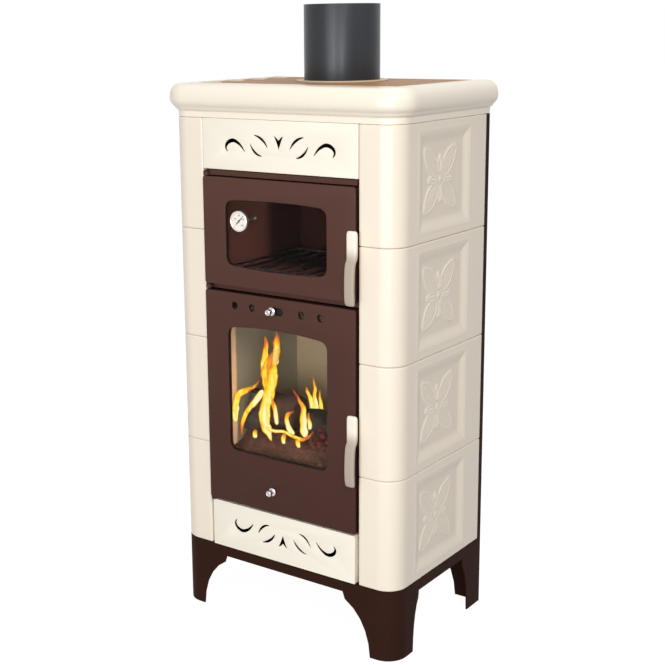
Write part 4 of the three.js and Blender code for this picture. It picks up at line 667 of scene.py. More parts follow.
# %% [markdown]
# ## Flat sheets with soft edges
# Doors, panels and rims are sheets cut to an outline, some with windows, slots or scrolls in them. No grid
# gives such a shape easily, so a flat curve does: it fills the area between outlines, gives it a thickness
# and rounds its edges, and is then turned into a mesh that stands upright in its place.

# %% Sheets from outlines
def full_turn(steps):
    """Evenly spaced angles once round, without the last, which would be the first again."""
    return np.linspace(0, tau, steps, endpoint=False)


def sheet(name, outlines, near, far, edge=0.5 * MM, steps=3):
    """An upright sheet between two depths from closed outlines: the first is outer, the rest are holes."""
    curve = bpy.data.curves.new(name, "CURVE")
    curve.dimensions = "2D"
    curve.fill_mode = "BOTH"
    curve.extrude = (far - near) / 2 - edge
    curve.bevel_depth = edge
    curve.bevel_resolution = steps - 1
    curve.offset = -edge
    for outline in outlines:
        spline = curve.splines.new("POLY")
        spline.points.add(len(outline) - 1)
        spline.points.foreach_set("co", coords(*np.asarray(outline, float).T, 0, 0).ravel())
        spline.use_cyclic_u = True
    return stand_up(name, curve, near, far)


def stand_up(name, curve, near, far):
    """Turn a flat curve or text into a mesh that stands upright between two depths."""
    holder = add_object(name, curve)
    mesh = holder.to_mesh(depsgraph=bpy.context.evaluated_depsgraph_get())
    points = np.empty(len(mesh.vertices) * 3)
    mesh.vertices.foreach_get("co", points)
    x, z, deep = points.reshape(-1, 3).T
    faces = [list(polygon.vertices) for polygon in mesh.polygons]
    holder.to_mesh_clear()
    bpy.data.objects.remove(holder)
    return build(name, coords(x, (near + far) / 2 - deep, z), faces, 30)


def rectangle(left, right, low, high, corner=0.0, steps=7):
    """A rectangle with round corners, counter-clockwise, each corner a quarter circle."""
    if corner <= 0:
        return np.array([[left, low], [right, low], [right, high], [left, high]])
    turn = np.linspace(0, pi / 2, steps)
    arcs = [coords(x + corner * np.cos(turn + start), z + corner * np.sin(turn + start))
            for x, z, start in ((right - corner, low + corner, -pi / 2), (right - corner, high - corner, 0),
                                (left + corner, high - corner, pi / 2), (left + corner, low + corner, pi))]
    return np.concatenate(arcs)


def circle(x, z, radius, steps=40):
    """A full circle round (x, z)."""
    turn = full_turn(steps)
    return coords(x + radius * np.cos(turn), z + radius * np.sin(turn))


# %% [markdown]
# ## The scrolls in the vent panels
# Warm air leaves through scrolls cut in the two cream panels: a spearhead in the middle, and on each side two
# slashes and a hooked crescent. Each scroll is a line that swells and thins, so its outline is the line moved
# to both sides by half its width. The lower panel carries the same pattern turned upside down, and its
# left-hand scrolls stand 6 mm nearer the middle.

# %% Scroll outlines
def spline_line(points, steps):
    """A smooth line through points: uniform Catmull-Rom, evaluated as arrays."""
    p = np.asarray(points, float)
    p = np.concatenate([2 * p[:1] - p[1:2], p, 2 * p[-1:] - p[-2:-1]])
    t = np.linspace(0, len(p) - 3, steps)
    i = np.minimum(t.astype(int), len(p) - 4)
    f = (t - i)[:, None]
    a, b, c, d = p[i], p[i + 1], p[i + 2], p[i + 3]
    return 0.5 * (2 * b + (c - a) * f + (2 * a - 5 * b + 4 * c - d) * f ** 2
                  + (3 * b - a - 3 * c + d) * f ** 3)


def bowed_line(start, control, end, steps=16):
    """A line bent once towards its control point."""
    t = np.linspace(0, 1, steps)[:, None]
    a, b, c = (np.asarray(p, float) for p in (start, control, end))
    return (1 - t) ** 2 * a + 2 * t * (1 - t) * b + t ** 2 * c


def stroke(line, swell):
    """A stroke's outline: the line moved right by 0.8 + swell x sin(pi t), then back on its left."""
    run = np.gradient(line, axis=0)
    across = coords(run[:, 1], -run[:, 0]) / np.linalg.norm(run, axis=1, keepdims=True)
    half = (0.8 + swell * np.sin(pi * np.linspace(0, 1, len(line))))[:, None]
    return np.concatenate([line + across * half, (line - across * half)[::-1]])


def scrolls(middle_x, middle_z, up, gather):
    """All the cut-outs of one panel, placed round its middle; up is 1 or, upside down, -1."""
    shapes = [
        stroke(spline_line([(80, -12), (92, 1), (107, 8), (120, 4), (126, -5), (122, -14)], 40), 2.9),
        stroke(bowed_line((26, -3), (36, 16), (57, 20)), 1.7),
        stroke(bowed_line((40, -19), (58, -17), (67, 3)), 1.6),
    ]
    half = np.concatenate([
        bowed_line((0, 12), (4.5, 17.5), (11, 20.5), 7)[:-1],
        bowed_line((11, 20.5), (5.5, 10), (3, 3), 8)[:-1],
        bowed_line((3, 3), (1, -2), (0, -7), 6),
    ])
    spear = np.concatenate([half, half[-2:0:-1] * [-1, 1]])
    outlines = [spear] + shapes + [shape * [-1, 1] + [gather, 0] for shape in shapes]
    return [outline * [MM, up * MM] + [middle_x, middle_z] for outline in outlines]


# %% Vent panels
def merge(name, pieces):
    """One piece made of several: their meshes joined under one name."""
    work = bmesh.new()
    for piece in pieces:
        work.from_mesh(piece.data)
    mesh = bpy.data.meshes.new(name)
    work.to_mesh(mesh)
    work.free()
    for piece in pieces:
        bpy.data.objects.remove(piece)
    mesh.set_sharp_from_angle(angle=radians(38))
    return add_object(name, mesh)


def vent_panel(name, node, up, rise, gather):
    """A folded panel: a face with scrolls, and a rim that runs back from its edge."""
    low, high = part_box(node)
    outline, wall = rectangle(low.x, high.x, low.z, high.z, 1.5 * MM), 2 * MM
    face = sheet(name, [outline, *scrolls(3 * MM, (low.z + high.z) / 2 + rise, up, gather)],
                 low.y, low.y + 2.5 * MM, 0.7 * MM)
    inner = rectangle(low.x + wall, high.x - wall, low.z + wall, high.z - wall, 1 * MM)
    rim = sheet(name + "_rim", [outline, inner], low.y + 1.3 * MM, high.y, 0.3 * MM)
    return merge(name, [face, rim])


dress(vent_panel("upper_scroll_panel", "top_vent_panel", 1, 0, 0), "root", "cream_enamel", cream_enamel,
      "top_vent_panel")
dress(vent_panel("lower_scroll_panel", "bottom_vent_panel", -1, 3.5 * MM, 6), "root", "cream_enamel",
      cream_enamel, "bottom_vent_panel")

# %% [markdown]
# ## The doors
# Each door is a thick plate with a window whose upper and lower edges bow gently, and a deep rim behind. The
# fire door also has round air holes, a slot for the upper knob and a bore for the lower one. The edges of the
# plate are rounded by a millimetre and a half, which gives the enamel its thin bright lines.

# %% Doors
OVEN_LOW, OVEN_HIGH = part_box("oven_door")
FIRE_LOW, FIRE_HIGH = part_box("fire_door")
DOOR_HALF = OVEN_HIGH.x
DOOR_BACK = OVEN_HIGH.y
PLATE, PLATE_EDGE = 5 * MM, 1.5 * MM
DOOR_CORNER, GROOVE_CORNER = 5 * MM, 2 * MM
AIR_HOLE, KNOB_BORE = 7.3 * MM, 3.9 * MM
WINDOW_LEFT, WINDOW_RIGHT = -122.5 * MM, 114.5 * MM
WINDOW_CORNER = 15 * MM


def window(low, high, low_bow, high_bow):
    """A window outline with round corners, whose upper and lower edges are z + bow x (1 - s squared)."""
    outline = rectangle(WINDOW_LEFT, WINDOW_RIGHT, low, high, WINDOW_CORNER)
    edge = np.linspace(WINDOW_RIGHT - WINDOW_CORNER, WINDOW_LEFT + WINDOW_CORNER, 13)[1:-1]
    points = np.concatenate([outline[:14], coords(edge, high), outline[14:], coords(edge[::-1], low)])
    middle_x, half = (WINDOW_LEFT + WINDOW_RIGHT) / 2, (WINDOW_RIGHT - WINDOW_LEFT) / 2
    share = 1 - ((points[:, 0] - middle_x) / half) ** 2
    upper = points[:, 1] > (low + high) / 2
    points[:, 1] += np.where(upper, high_bow, -low_bow) * share
    return points


def door_rim(name, low, high):
    """The deep edge behind a door's plate, with its rope groove as a step between two rings."""
    def frame_line(x, z):
        """The door's outline, x and z millimetres inside it."""
        return rectangle(-DOOR_HALF + x * MM, DOOR_HALF - x * MM, low + z * MM, high - z * MM,
                         GROOVE_CORNER if x else DOOR_CORNER)

    #        outer line,  inner line, back
    rings = (((0, 0), (14.4, 4.5), 0), ((14.4, 4.5), (21.4, 11.5), -7), ((21.4, 11.5), (24.4, 14.5), 0))
    return [sheet(f"{name}_{outer[0]}", [frame_line(*outer), frame_line(*inner)], DOOR_FACE + 4 * MM,
                  DOOR_BACK + back * MM, 0.3 * MM, 2) for outer, inner, back in rings]


def door(name, low, high, pane, extra=()):
    """Face plate with its openings, joined with the rim behind it."""
    outline = rectangle(-DOOR_HALF, DOOR_HALF, low, high, DOOR_CORNER)
    face = sheet(name, [outline, pane, *extra], DOOR_FACE, DOOR_FACE + PLATE, PLATE_EDGE, 4)
    return merge(name, [face, *door_rim(name, low, high)])


def middle(node):
    """The middle of a CAD node's box."""
    return [(low + high) / 2 for low, high in zip(*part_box(node))]


KNOB_X, _, KNOB_Z = middle("primary_air_knob")
AIR_X, AIR_Z = -11.5 * MM, middle("secondary_air_knob")[2]
oven_pane = window(OVEN_LOW.z + 42.3 * MM, OVEN_LOW.z + 167.3 * MM, 5 * MM, 5 * MM)
fire_pane = window(FIRE_LOW.z + 114.5 * MM, FIRE_LOW.z + 366.4 * MM, 2 * MM, 8 * MM)
air_openings = [circle(x * MM, AIR_Z, AIR_HOLE) for x in (-104.4, -61.7, 55.4, 99.1)]
air_openings.append(rectangle(-18 * MM, 13.7 * MM, AIR_Z - AIR_HOLE, AIR_Z + AIR_HOLE, 7.2 * MM))
air_openings.append(circle(KNOB_X, KNOB_Z, KNOB_BORE))
dress(door("oven_door_shell", OVEN_LOW.z, OVEN_HIGH.z, oven_pane), "oven_door", "door_enamel", door_enamel,
      "oven_door")
dress(door("fire_door_shell", FIRE_LOW.z, FIRE_HIGH.z, fire_pane, air_openings), "fire_door", "door_enamel",
      door_enamel, "fire_door")

# %% [markdown]
# Behind each plate a rope of glass fibre lies in the groove and seals the door. It is a closed tube round a
# rounded rectangle; its section is an ellipse whose size swells and shrinks along three twisted strands.

# %% Rope seals
def tube(line, half, depth, reference=(0.0, 1.0, 0.0), steps=20, closed=False):
    """Grid round a line: point = line + half cos a across + depth sin a towards the reference."""
    ends = (np.roll(line, -1, 0) - np.roll(line, 1, 0)) if closed else np.gradient(line, axis=0)
    run = ends / np.linalg.norm(ends, axis=1, keepdims=True)
    near = np.asarray(reference) - (run @ np.asarray(reference))[:, None] * run
    near /= np.linalg.norm(near, axis=1, keepdims=True)
    across = np.cross(run, near)
    turn = full_turn(steps)
    wide = np.broadcast_to(half, len(line))[:, None, None] * np.cos(turn)[None, :, None]
    deep = np.broadcast_to(depth, len(line))[:, None, None] * np.sin(turn)[None, :, None]
    return line[:, None] + across[:, None] * wide + near[:, None] * deep


ROPE_STEPS, TWIST_LENGTH = 18, 26 * MM


def rope(name, node):
    """Grid [along the groove, round the rope]: radius x (0.91 + 0.09 |cos| of the strand's angle)."""
    low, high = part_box(node)
    inset, deep = 3.3 * MM, (high.y - low.y) / 2
    outline = rectangle(low.x + inset, high.x - inset, low.z + inset, high.z - inset, 5 * MM, 9)
    outline = np.concatenate([outline, outline[:1]])
    travel = travelled(outline)
    stops = np.linspace(0, travel[-1], 900, endpoint=False)
    x, z = read_at(stops, travel, outline).T
    line = coords(x, (low.y + high.y) / 2, z)
    grid = tube(line, 3.0 * MM, deep * 0.92, steps=ROPE_STEPS, closed=True)
    turns = round(travel[-1] / TWIST_LENGTH)
    twist = full_turn(ROPE_STEPS) * 1.5 + stops[:, None] / travel[-1] * pi * turns * 3
    swell = 0.91 + 0.09 * np.abs(np.cos(twist))
    return skin(name, line[:, None] + (grid - line[:, None]) * swell[:, :, None], wrap_rows=True,
                wrap_columns=True, sharp=80)


rope_fibre = make_metal("rope_fibre", srgb(64, 60, 57), srgb(44, 40, 38), 0.9, 0.0, scale=260.0, grain=0.8,
                        shine=0.1)
for name in ("oven", "fire"):
    dress(rope(f"{name}_rope", f"{name}_door_seal"), f"{name}_door", "rope_seal", rope_fibre,
          f"{name}_door_seal")

# %% [markdown]
# ## The handles
# A handle is one enamelled casting: a flat rounded head over the spindle and a narrower lever that bows out
# from it. It is a loft: at each height the section is a superellipse, |x/a|^n + |y/b|^n = 1, whose
# half-widths, exponent and middle change smoothly from the head to the tip.

# %% Handles
def handle(name, node):
    """Grid [height, round]: superellipse sections whose size and middle are read along the handle."""
    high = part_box(node)[1]
    #           below top, half width, half depth, middle depth from the back, side shift, exponent
    marks = np.array([
        [0.0, 6.0, 1.6, 5.2, 0.0, 2.6], [0.5, 8.2, 3.0, 5.0, 0.0, 2.8], [2.0, 9.6, 4.0, 4.9, 0.0, 3.2],
        [5.0, 10.4, 4.6, 4.75, 0.0, 3.6], [12, 10.65, 4.65, 4.7, 0.0, 4.0], [30, 10.65, 4.65, 4.7, 0.0, 4.0],
        [44, 10.6, 4.6, 4.8, 0.0, 4.0], [51, 10.4, 4.5, 5.2, 0.0, 3.8], [54, 10.3, 4.4, 6.2, -0.2, 3.8],
        [58, 10.2, 4.2, 9.0, -0.5, 3.8], [66, 10.2, 4.0, 11.4, -0.5, 3.8], [80, 10.2, 4.0, 12.7, -0.5, 3.8],
        [96, 10.2, 4.0, 13.4, -0.5, 3.8], [110, 10.2, 4.0, 13.6, -0.5, 3.8],
        [124, 10.1, 4.0, 13.0, -0.4, 3.8], [132, 9.9, 3.8, 12.3, -0.3, 3.4],
        [135.5, 9.2, 3.2, 12.0, -0.1, 3.0], [137, 7.6, 2.2, 11.9, 0.1, 2.6],
        [137.4, 5.4, 1.2, 11.9, 0.1, 2.4],
    ])
    down = np.concatenate([np.linspace(0, 5, 10), np.linspace(6, 131, 80), np.linspace(132, 137.4, 12)])
    half, thick, out, shift, power = (np.interp(down, marks[:, 0], marks[:, k])[:, None] for k in range(1, 6))
    wave_x, wave_y = np.cos(full_turn(56)), np.sin(full_turn(56))
    x = middle(node)[0] + (shift + half * np.sign(wave_x) * np.abs(wave_x) ** (2 / power)) * MM
    y = high.y - (out + thick * np.sign(wave_y) * np.abs(wave_y) ** (2 / power)) * MM
    # Painted shade: from 26 mm below the top the handle turns to a shaded grey-beige, full from 58 mm down.
    lever_shade = np.broadcast_to(smooth(26, 58, down)[:, None], x.shape)
    return loft(name, coords(x, y, high.z - down[:, None] * MM), 60, {"lever_shade": lever_shade})


for name in ("oven", "fire"):
    dress(handle(f"{name}_lever", f"{name}_handle"), f"{name}_handle", "cream_enamel", handle_enamel,
          f"{name}_handle")

# %% [markdown]
# ## Turned pieces
# The pipe, its collar, the knobs and the thermometer's case are lathe work: half a section, drawn as radius
# and height, swung round an axis. Corners of a section are softened first, because a truly sharp metal edge
# shows no highlight.

# %% Pipe and collar
def rounded(profile, radius, steps=5):
    """A closed or open line with each corner replaced by a parabola that starts and ends radius away."""
    line = np.asarray(profile, float)
    share = np.linspace(0, 1, steps)[:, None]
    out = [line[:1]]
    for before, corner, after in zip(line[:-2], line[1:-1], line[2:]):
        reach = [min(radius / max(np.linalg.norm(p - corner), 1e-9), 0.5) for p in (before, after)]
        start, end = corner + (before - corner) * reach[0], corner + (after - corner) * reach[1]
        out.append((1 - share) ** 2 * start + 2 * share * (1 - share) * corner + share ** 2 * end)
    return np.concatenate([*out, line[-1:]])


def lathe(name, profile, centre, axis, steps=64):
    """A turned piece: point = centre + r (cos a, sin a) across the axis + h along it, for each (r, h)."""
    radius, along = np.asarray(profile, float).T
    angle = full_turn(steps)[:, None]
    first, second = radius * np.cos(angle), radius * np.sin(angle)
    grid = coords(first, second, along) if axis == "z" else coords(first, along, second)
    return skin(name, grid + np.asarray(centre), wrap_rows=True)


PIPE_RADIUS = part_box("flue_pipe")[1].x
PIPE_WALL, COLLAR_PLAY = 2.5 * MM, 0.3 * MM


def ring(name, node, bore, edge):
    """A ring about the pipe's axis, as high and wide as a CAD node, with that bore and soft edges."""
    low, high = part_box(node)
    line = [(bore, low.z), (high.x, low.z), (high.x, high.z), (bore, high.z), (bore, low.z)]
    return lathe(name, rounded(line, edge), (0, middle("flue_pipe")[1], 0), "z", 128)


dress(ring("flue_pipe_shell", "flue_pipe", PIPE_RADIUS - PIPE_WALL, 0.6 * MM), "root", "pipe_paint",
      pipe_paint, "flue_pipe")
dress(ring("flue_collar_ring", "flue_collar", PIPE_RADIUS + COLLAR_PLAY, 1.0 * MM), "root", "cream_enamel",
      collar_enamel, "flue_collar")

# %% [markdown]
# The two air knobs are alike: a chamfered head, a waist and a wider collar behind it, turned in one piece.

# %% Knobs
def knob(name, node):
    """A turned knob: chamfered head with a hollow face, waist, collar and stem."""
    low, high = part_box(node)
    x, z = (KNOB_X, KNOB_Z) if node == "primary_air_knob" else (AIR_X, AIR_Z)
    length = (high.y - low.y) / MM
    profile = np.array([
        (0, 0.5), (3.4, 0.5), (3.9, 0), (4.9, 0), (6.3, 1.6), (6.3, 6), (4.1, 8.6), (4.1, 11.8), (8.3, 13.4),
        (8.3, 16.4), (3.5, 16.4), (3.5, length), (0, length),
    ])
    return lathe(name, rounded(profile, 0.5) * MM, (x, low.y, z), "y", 48)


dress(knob("upper_air_knob", "secondary_air_knob"), "secondary_air", "chromed", chrome, "secondary_air_knob")
dress(knob("lower_air_knob", "primary_air_knob"), "primary_air", "chromed", chrome, "primary_air_knob")

# %% [markdown]
# ## The thermometer
# The oven's thermometer is a shallow chrome case with a rolled rim. Its dial is a white disc a little below
# the rim, with a ring of fine marks and plain numbers of degrees; marks and numbers are flat shapes laid on
# the disc.

# %% Thermometer
CASE_LOW, CASE_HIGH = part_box("thermometer_case")
DIAL_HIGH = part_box("thermometer_dial")[1]
CASE_X, _, CASE_Z = middle("thermometer_case")
CASE_RADIUS = (CASE_HIGH.x - CASE_LOW.x) / 2
DIAL_FACE = DIAL_HIGH.y - 1.2 * MM
INK_FACE = DIAL_FACE - 0.1 * MM
case_depth, dial_sink = CASE_HIGH.y - CASE_LOW.y, DIAL_HIGH.y - CASE_LOW.y
case_line = rounded([
    (0, dial_sink), (CASE_RADIUS - 3 * MM, dial_sink), (CASE_RADIUS - 3 * MM, 1.1 * MM),
    (CASE_RADIUS - 2.2 * MM, 0.1 * MM), (CASE_RADIUS - 1 * MM, 0), (CASE_RADIUS, 1.2 * MM),
    (CASE_RADIUS, case_depth - 1 * MM), (CASE_RADIUS - 1 * MM, case_depth), (0, case_depth),
], 0.7 * MM)
dress(lathe("thermometer_shell", case_line, (CASE_X, CASE_LOW.y, CASE_Z), "y", 72), "oven_door", "chromed",
      rim_chrome, "thermometer_case")

dial_radius = CASE_RADIUS - 3.3 * MM
dial_thick = DIAL_HIGH.y - DIAL_FACE
dial_line = rounded([(0, 0), (dial_radius, 0), (dial_radius, dial_thick), (0, dial_thick)], 0.15 * MM)
dial_white = make_enamel("dial_white", srgb(250, 244, 238), srgb(244, 237, 229), 0.5, 0.1, 60.0)
dial = lathe("thermometer_face", dial_line, (CASE_X, DIAL_FACE, CASE_Z), "y", 72)
dress(dial, "oven_door", "dial_face", dial_white, "thermometer_dial")


def dial_mark(number):
    """A radial bar of the scale, longer at every fourth one; 25 of them span 270 degrees."""
    angle = radians(225 - 270 * number / 24)
    length, width = (3.4, 0.32) if number % 4 == 0 else (2.0, 0.16)
    inner, outer, half = dial_radius - length * MM, dial_radius - 0.9 * MM, width * MM
    bar = np.array([[inner, -half], [outer, -half], [outer, half], [inner, half]])
    turned = bar @ np.array([[cos(angle), sin(angle)], [-sin(angle), cos(angle)]])
    return turned + [CASE_X, CASE_Z]


def dial_number(text, angle):
    """A number in plain letters, made a mesh and set inside the ring of marks."""
    words = bpy.data.curves.new("number_" + text, "FONT")
    words.body = text
    words.size = 4.2 * MM
    words.align_x, words.align_y = "CENTER", "CENTER"
    words.extrude = 0.05 * MM
    inset = dial_radius - 6.2 * MM
    words.offset_x = CASE_X + inset * cos(radians(angle))
    words.offset_y = CASE_Z + inset * sin(radians(angle))
    return stand_up("number_" + text, words, INK_FACE, DIAL_FACE)


marks = sheet("thermometer_marks", [dial_mark(number) for number in range(25)], INK_FACE, DIAL_FACE,
              0.02 * MM, 1)
numbers = [dial_number(str(value), 225 - 0.675 * value) for value in (0, 100, 200, 300, 400)]
dress(merge("thermometer_scale", [marks, *numbers]), "oven_door", "dial_pointer", needle_black)

# %% [markdown]
# ## The oven rack
# The rack is bent and welded wire: two rails from side to side and nine wires from front to back. It is a
# bundle, several grids in one mesh.

# %% Oven rack
def bundle(name, grids, sharp=38, values=None):
    """Several tubes in one mesh: each grid is closed round its columns and at its ends."""
    sizes = [grid.shape[0] * grid.shape[1] for grid in grids]
    starts = np.concatenate([[0], np.cumsum(sizes)[:-1]]).tolist()
    faces = [face for grid, start in zip(grids, starts)
             for face in net(*grid.shape[:2], False, True, ("first", "last"), start)]
    return build(name, np.concatenate([grid.reshape(-1, 3) for grid in grids]), faces, sharp, values)


rack_low, rack_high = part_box("oven_rack")
rack_z = middle("oven_rack")[2]
rail, wire = 2.5 * MM, 2 * MM
rack_front, rack_back = rack_low.y + rail, rack_high.y - rail
rails = [tube(coords(np.linspace(rack_low.x, rack_high.x, 12), y, rack_z), rail, rail)
         for y in (rack_front, rack_back)]
wires = [tube(coords(x, np.linspace(rack_front, rack_back, 12), rack_z), wire, wire, (0.0, 0.0, 1.0))
         for x in np.linspace(rack_low.x + rail, rack_high.x - rail, 9)]
dress(bundle("oven_rack_wires", rails + wires), "oven_rack", "bright_wire", bright_wire, "oven_rack")

# %% [markdown]
# ## The fire
# Behind the lower glass three logs burn on a bed of ash. A log is a tube with an uneven, furrowed skin; its
# finish is bark that turns to char, with red embers where a second value, "heat", is high. The bed is a low
# heap of crumbled ash and charcoal.

# %% Logs and ash bed
def rumple(points, size, seed, waves=18):
    """A smooth uneven value about 0 at each point: a sum of sine waves of about that length in random
    directions, divided by the root of their number."""
    chance = np.random.default_rng(seed)
    aim = chance.normal(size=(waves, 3))
    aim /= np.linalg.norm(aim, axis=1, keepdims=True)
    pace = tau / (size * chance.uniform(0.6, 1.7, waves))
    phase = chance.uniform(0, tau, waves)
    return np.sin((points @ aim.T) * pace + phase).sum(-1) / waves ** 0.5


def spot(x, y, z):
    """A place in the stove, in millimetres from the middle, the tiles' front and the floor."""
    return coords(np.asarray(x) * MM, np.asarray(y) * MM + FRONT, np.asarray(z) * MM)


def make_ember_finish(name, fresh, burnt, glow, scale):
    """Bark or ash: a mottle of two colours, furrowed, with a red glow in cracks where heat is high."""
    finish, tree, shader, place = start_finish(name, Roughness=0.9, Specular_IOR_Level=0.15)
    base = mottled(tree, place, fresh, burnt, scale, 2.6)
    heat = carried(tree, "heat")
    char = remap(tree, heat, 0, 1, 0, 0.75)
    cracks = noise(tree, place, 95.0, Detail=3.0, Roughness=0.7)
    lit = reckon(tree, "MULTIPLY", remap(tree, cracks, 0.48, 0.62), heat)
    inner = remap(tree, cracks, 0.56, 0.72)
    feed(shader, Base_Color=blend_colours(tree, char, base["Colour"], burnt),
         Emission_Color=blend_colours(tree, inner, srgb(176, 42, 34), srgb(250, 130, 66)),
         Emission_Strength=reckon(tree, "MULTIPLY", lit, glow))
    roughen(tree, shader, place, scale=130.0, fine=0.8, strength=0.8, depth=0.003)
    return finish


bark = make_ember_finish("burning_bark", srgb(92, 66, 57), srgb(48, 37, 35), 1.0, 26.0)
charcoal = make_ember_finish("charcoal", srgb(74, 64, 60), srgb(44, 38, 38), 1.0, 34.0)
ash = make_ember_finish("ash_bed", srgb(108, 73, 60), srgb(82, 55, 47), 0.9, 60.0)


def log(name, start, end, radius, heat_from, heat_to, seed, finish):
    """A tube whose radius is uneven along and round it; heat rises between two shares of its length."""
    share = np.linspace(0, 1, 70)
    line = spot(*start) + (spot(*end) - spot(*start)) * share[:, None]
    line = line + rumple(line, 60 * MM, seed)[:, None] * np.array([0, 0, 1.6 * MM])
    taper = 1 - 0.16 * np.abs(2 * share - 1) ** 6
    grid = tube(line, radius * MM * taper, radius * MM * taper, steps=64)
    furrow = rumple(grid * [0.35, 1, 1], 16 * MM, seed + 1) * 1.3 * MM
    furrow = furrow + rumple(grid, 42 * MM, seed + 2) * 2 * MM
    out = grid - line[:, None]
    grid = grid + out / np.linalg.norm(out, axis=2, keepdims=True) * furrow[..., None]
    heat = smooth(heat_from, heat_to, share)[:, None] * np.ones(64)[None, :]
    dress(loft(name, grid, 50, {"heat": heat}), "root", "fire_clay", finish)


log("log_left", (-130, 76, 380), (-108, 76, 464), 19, 0.75, 0.2, 11, charcoal)
log("log_middle", (-143, 118, 420), (-30, 110, 421), 34, 0.55, 1.05, 21, bark)
log("log_right", (-40, 150, 395), (122, 146, 393), 31, 0.6, -0.1, 31, charcoal)


def ash_bed(name):
    """Loft from front to back: a wavy top line between two walls, closed by a flat underside."""
    depth = np.linspace(27, 255, 70)
    across = np.linspace(-146, 146, 110)
    x, y = np.meshgrid(across, depth)
    top = spot(x, y, 0)
    height = 353 + 22 * smooth(27, 100, y) + 2.6 * rumple(top, 34 * MM, 5) + 1.8 * rumple(top, 9 * MM, 6)
    height = np.maximum(height, 348.5)
    grid = np.concatenate([spot(x, y, height), spot(x[:, ::-1], y, 346.6)], 1)
    heat = np.concatenate([smooth(120, 20, np.hypot(x + 30, (y - 70) * 1.4)), np.zeros_like(x)], 1)
    return loft(name, grid, 60, {"heat": heat})


dress(ash_bed("ember_bed"), "root", "fire_clay", ash)

# %% [markdown]
# Small embers glow in front of the logs and among the flames. Each is an uneven lump, and all are one mesh.

# %% Embers
EMBERS = [(49, 414, 5), (55, 402, 6), (46, 384, 5), (66, 392, 5), (88, 396, 4), (-39, 379, 5), (-44, 390, 6),
          (-62, 386, 5), (30, 380, 5), (-84, 376, 4), (-118, 382, 4)]


def ember(x, z, size, seed):
    """A lump: a short tube that swells like a ball, made uneven."""
    share = np.linspace(-1, 1, 13)
    line = spot(x + size * share, 66, z)
    round_off = np.sqrt(np.clip(1 - share ** 2, 0.02, 1)) * size * MM
    grid = tube(line, round_off, round_off, steps=16)
    return grid + (grid - line[:, None]) * 0.25 * rumple(grid, 8 * MM, seed)[..., None]


lumps = [ember(x, z, size, 80 + number) for number, (x, z, size) in enumerate(EMBERS)]
heats = np.ones(sum(lump.shape[0] * lump.shape[1] for lump in lumps))
dress(bundle("embers", lumps, sharp=60, values={"heat": heats}), "root", "fire_clay",
      make_ember_finish("glowing_ember", srgb(120, 40, 40), srgb(70, 34, 36), 2.6, 90.0))

# %% [markdown]
# A flame is hot gas that gives light and hides nothing: bright yellow where one looks through much of it,
# orange at its edges and thin towards the tip. So each flame is a soft tube round a curved line, its colour
# follows how squarely the surface faces the eye, and its rim and tip fade out. "rise" runs from 0 at the
# flame's foot to 1 at its tip.

# %% Flames
FLAMES = [
    (62, [(-70, 369, 4.5), (-78, 388, 10.9), (-86, 405, 15.4), (-85, 432, 14.1), (-76, 461, 14),
          (-71, 493, 20.3), (-72, 517, 22.1), (-67, 537, 15.8), (-53, 554, 10.6), (-44, 568, 1.6)]),
    (66, [(-87, 499, 10.9), (-89, 520, 9.6), (-85, 539, 9.6), (-84, 558, 7.6), (-82, 574, 5.7),
          (-82, 587, 1.3)]),
    (66, [(-59, 530, 9.5), (-60, 546, 8.8), (-56, 567, 8.8), (-55, 582, 8.1), (-55, 598, 1.6)]),
    (46, [(-77, 480, 8.8), (-96, 453, 7.2), (-115, 434, 6.2), (-126, 414, 5.4), (-132, 394, 4.3),
          (-136, 374, 1.7)]),
    (37, [(-143, 402, 7.6), (-142, 423, 8.8), (-140, 445, 8.6), (-129, 466, 7.8), (-110, 478, 5.8),
          (-95, 485, 4.2), (-78, 503, 1.3)]),
    (58, [(-52, 408, 5.5), (-55, 428, 6), (-60, 449, 4.8), (-66, 468, 1.6)]),
    (56, [(-9, 395, 7.1), (-21, 409, 6), (-26, 424, 6), (-21, 437, 4.4), (-11, 444, 1.5)]),
    (60, [(16, 393, 10.1), (12, 416, 9.6), (12, 440, 8.4), (13, 454, 5.6), (3, 470, 3.1), (-14, 488, 0.9)]),
    (60, [(27, 412, 4.3), (27, 427, 4.9), (24, 446, 1.5)]),
    (168, [(-36, 410, 9.3), (-46, 434, 6.4), (-53, 449, 4.2), (-57, 461, 1.3)]),
    (170, [(-31, 410, 7.6), (-37, 440, 5.2), (-36, 461, 4.2), (-40, 484, 1.2)]),
    (166, [(-17, 411, 6.2), (-19, 432, 4.4), (-21, 447, 3.1), (-23, 460, 1.2)]),
    (50, [(-102, 373, 4.4), (-102, 382, 6.2), (-101, 391, 3.2)]),
    (50, [(-30, 374, 4.2), (-30, 386, 6), (-28, 397, 3.2)]),
    (50, [(8, 373, 4), (6, 383, 6), (7, 393, 4)]),
    (50, [(-84, 403, 2.2), (-56, 397, 4.2), (-29, 400, 3.6), (-5, 394, 4.2), (17, 392, 4.6),
          (31, 400, 3.6), (41, 413, 1.2)]),
]


def flame(depth, marks, seed):
    """Tube whose half width is read along the marks, with small waves that grow towards the tip."""
    smooth_line = spline_line(marks, 44)
    share = np.linspace(0, 1, 44)
    line = spot(smooth_line[:, 0], depth, smooth_line[:, 1])
    sway = rumple(line, 26 * MM, seed) * share * 1.6 * MM
    line = line + coords(sway, 0.6 * sway, 0)
    close = np.sqrt(np.clip(1 - (1 - share / 0.12).clip(0, 1) ** 2, 0.01, 1))
    ragged = 1 + 0.1 * rumple(line, 15 * MM, seed + 1)
    half = np.clip(0.88 * smooth_line[:, 2], 0.6, None) * close * ragged * MM
    grid = tube(line, half, 0.5 * half + 1.2 * MM * close, steps=28)
    return grid, np.broadcast_to(share[:, None], grid.shape[:2])


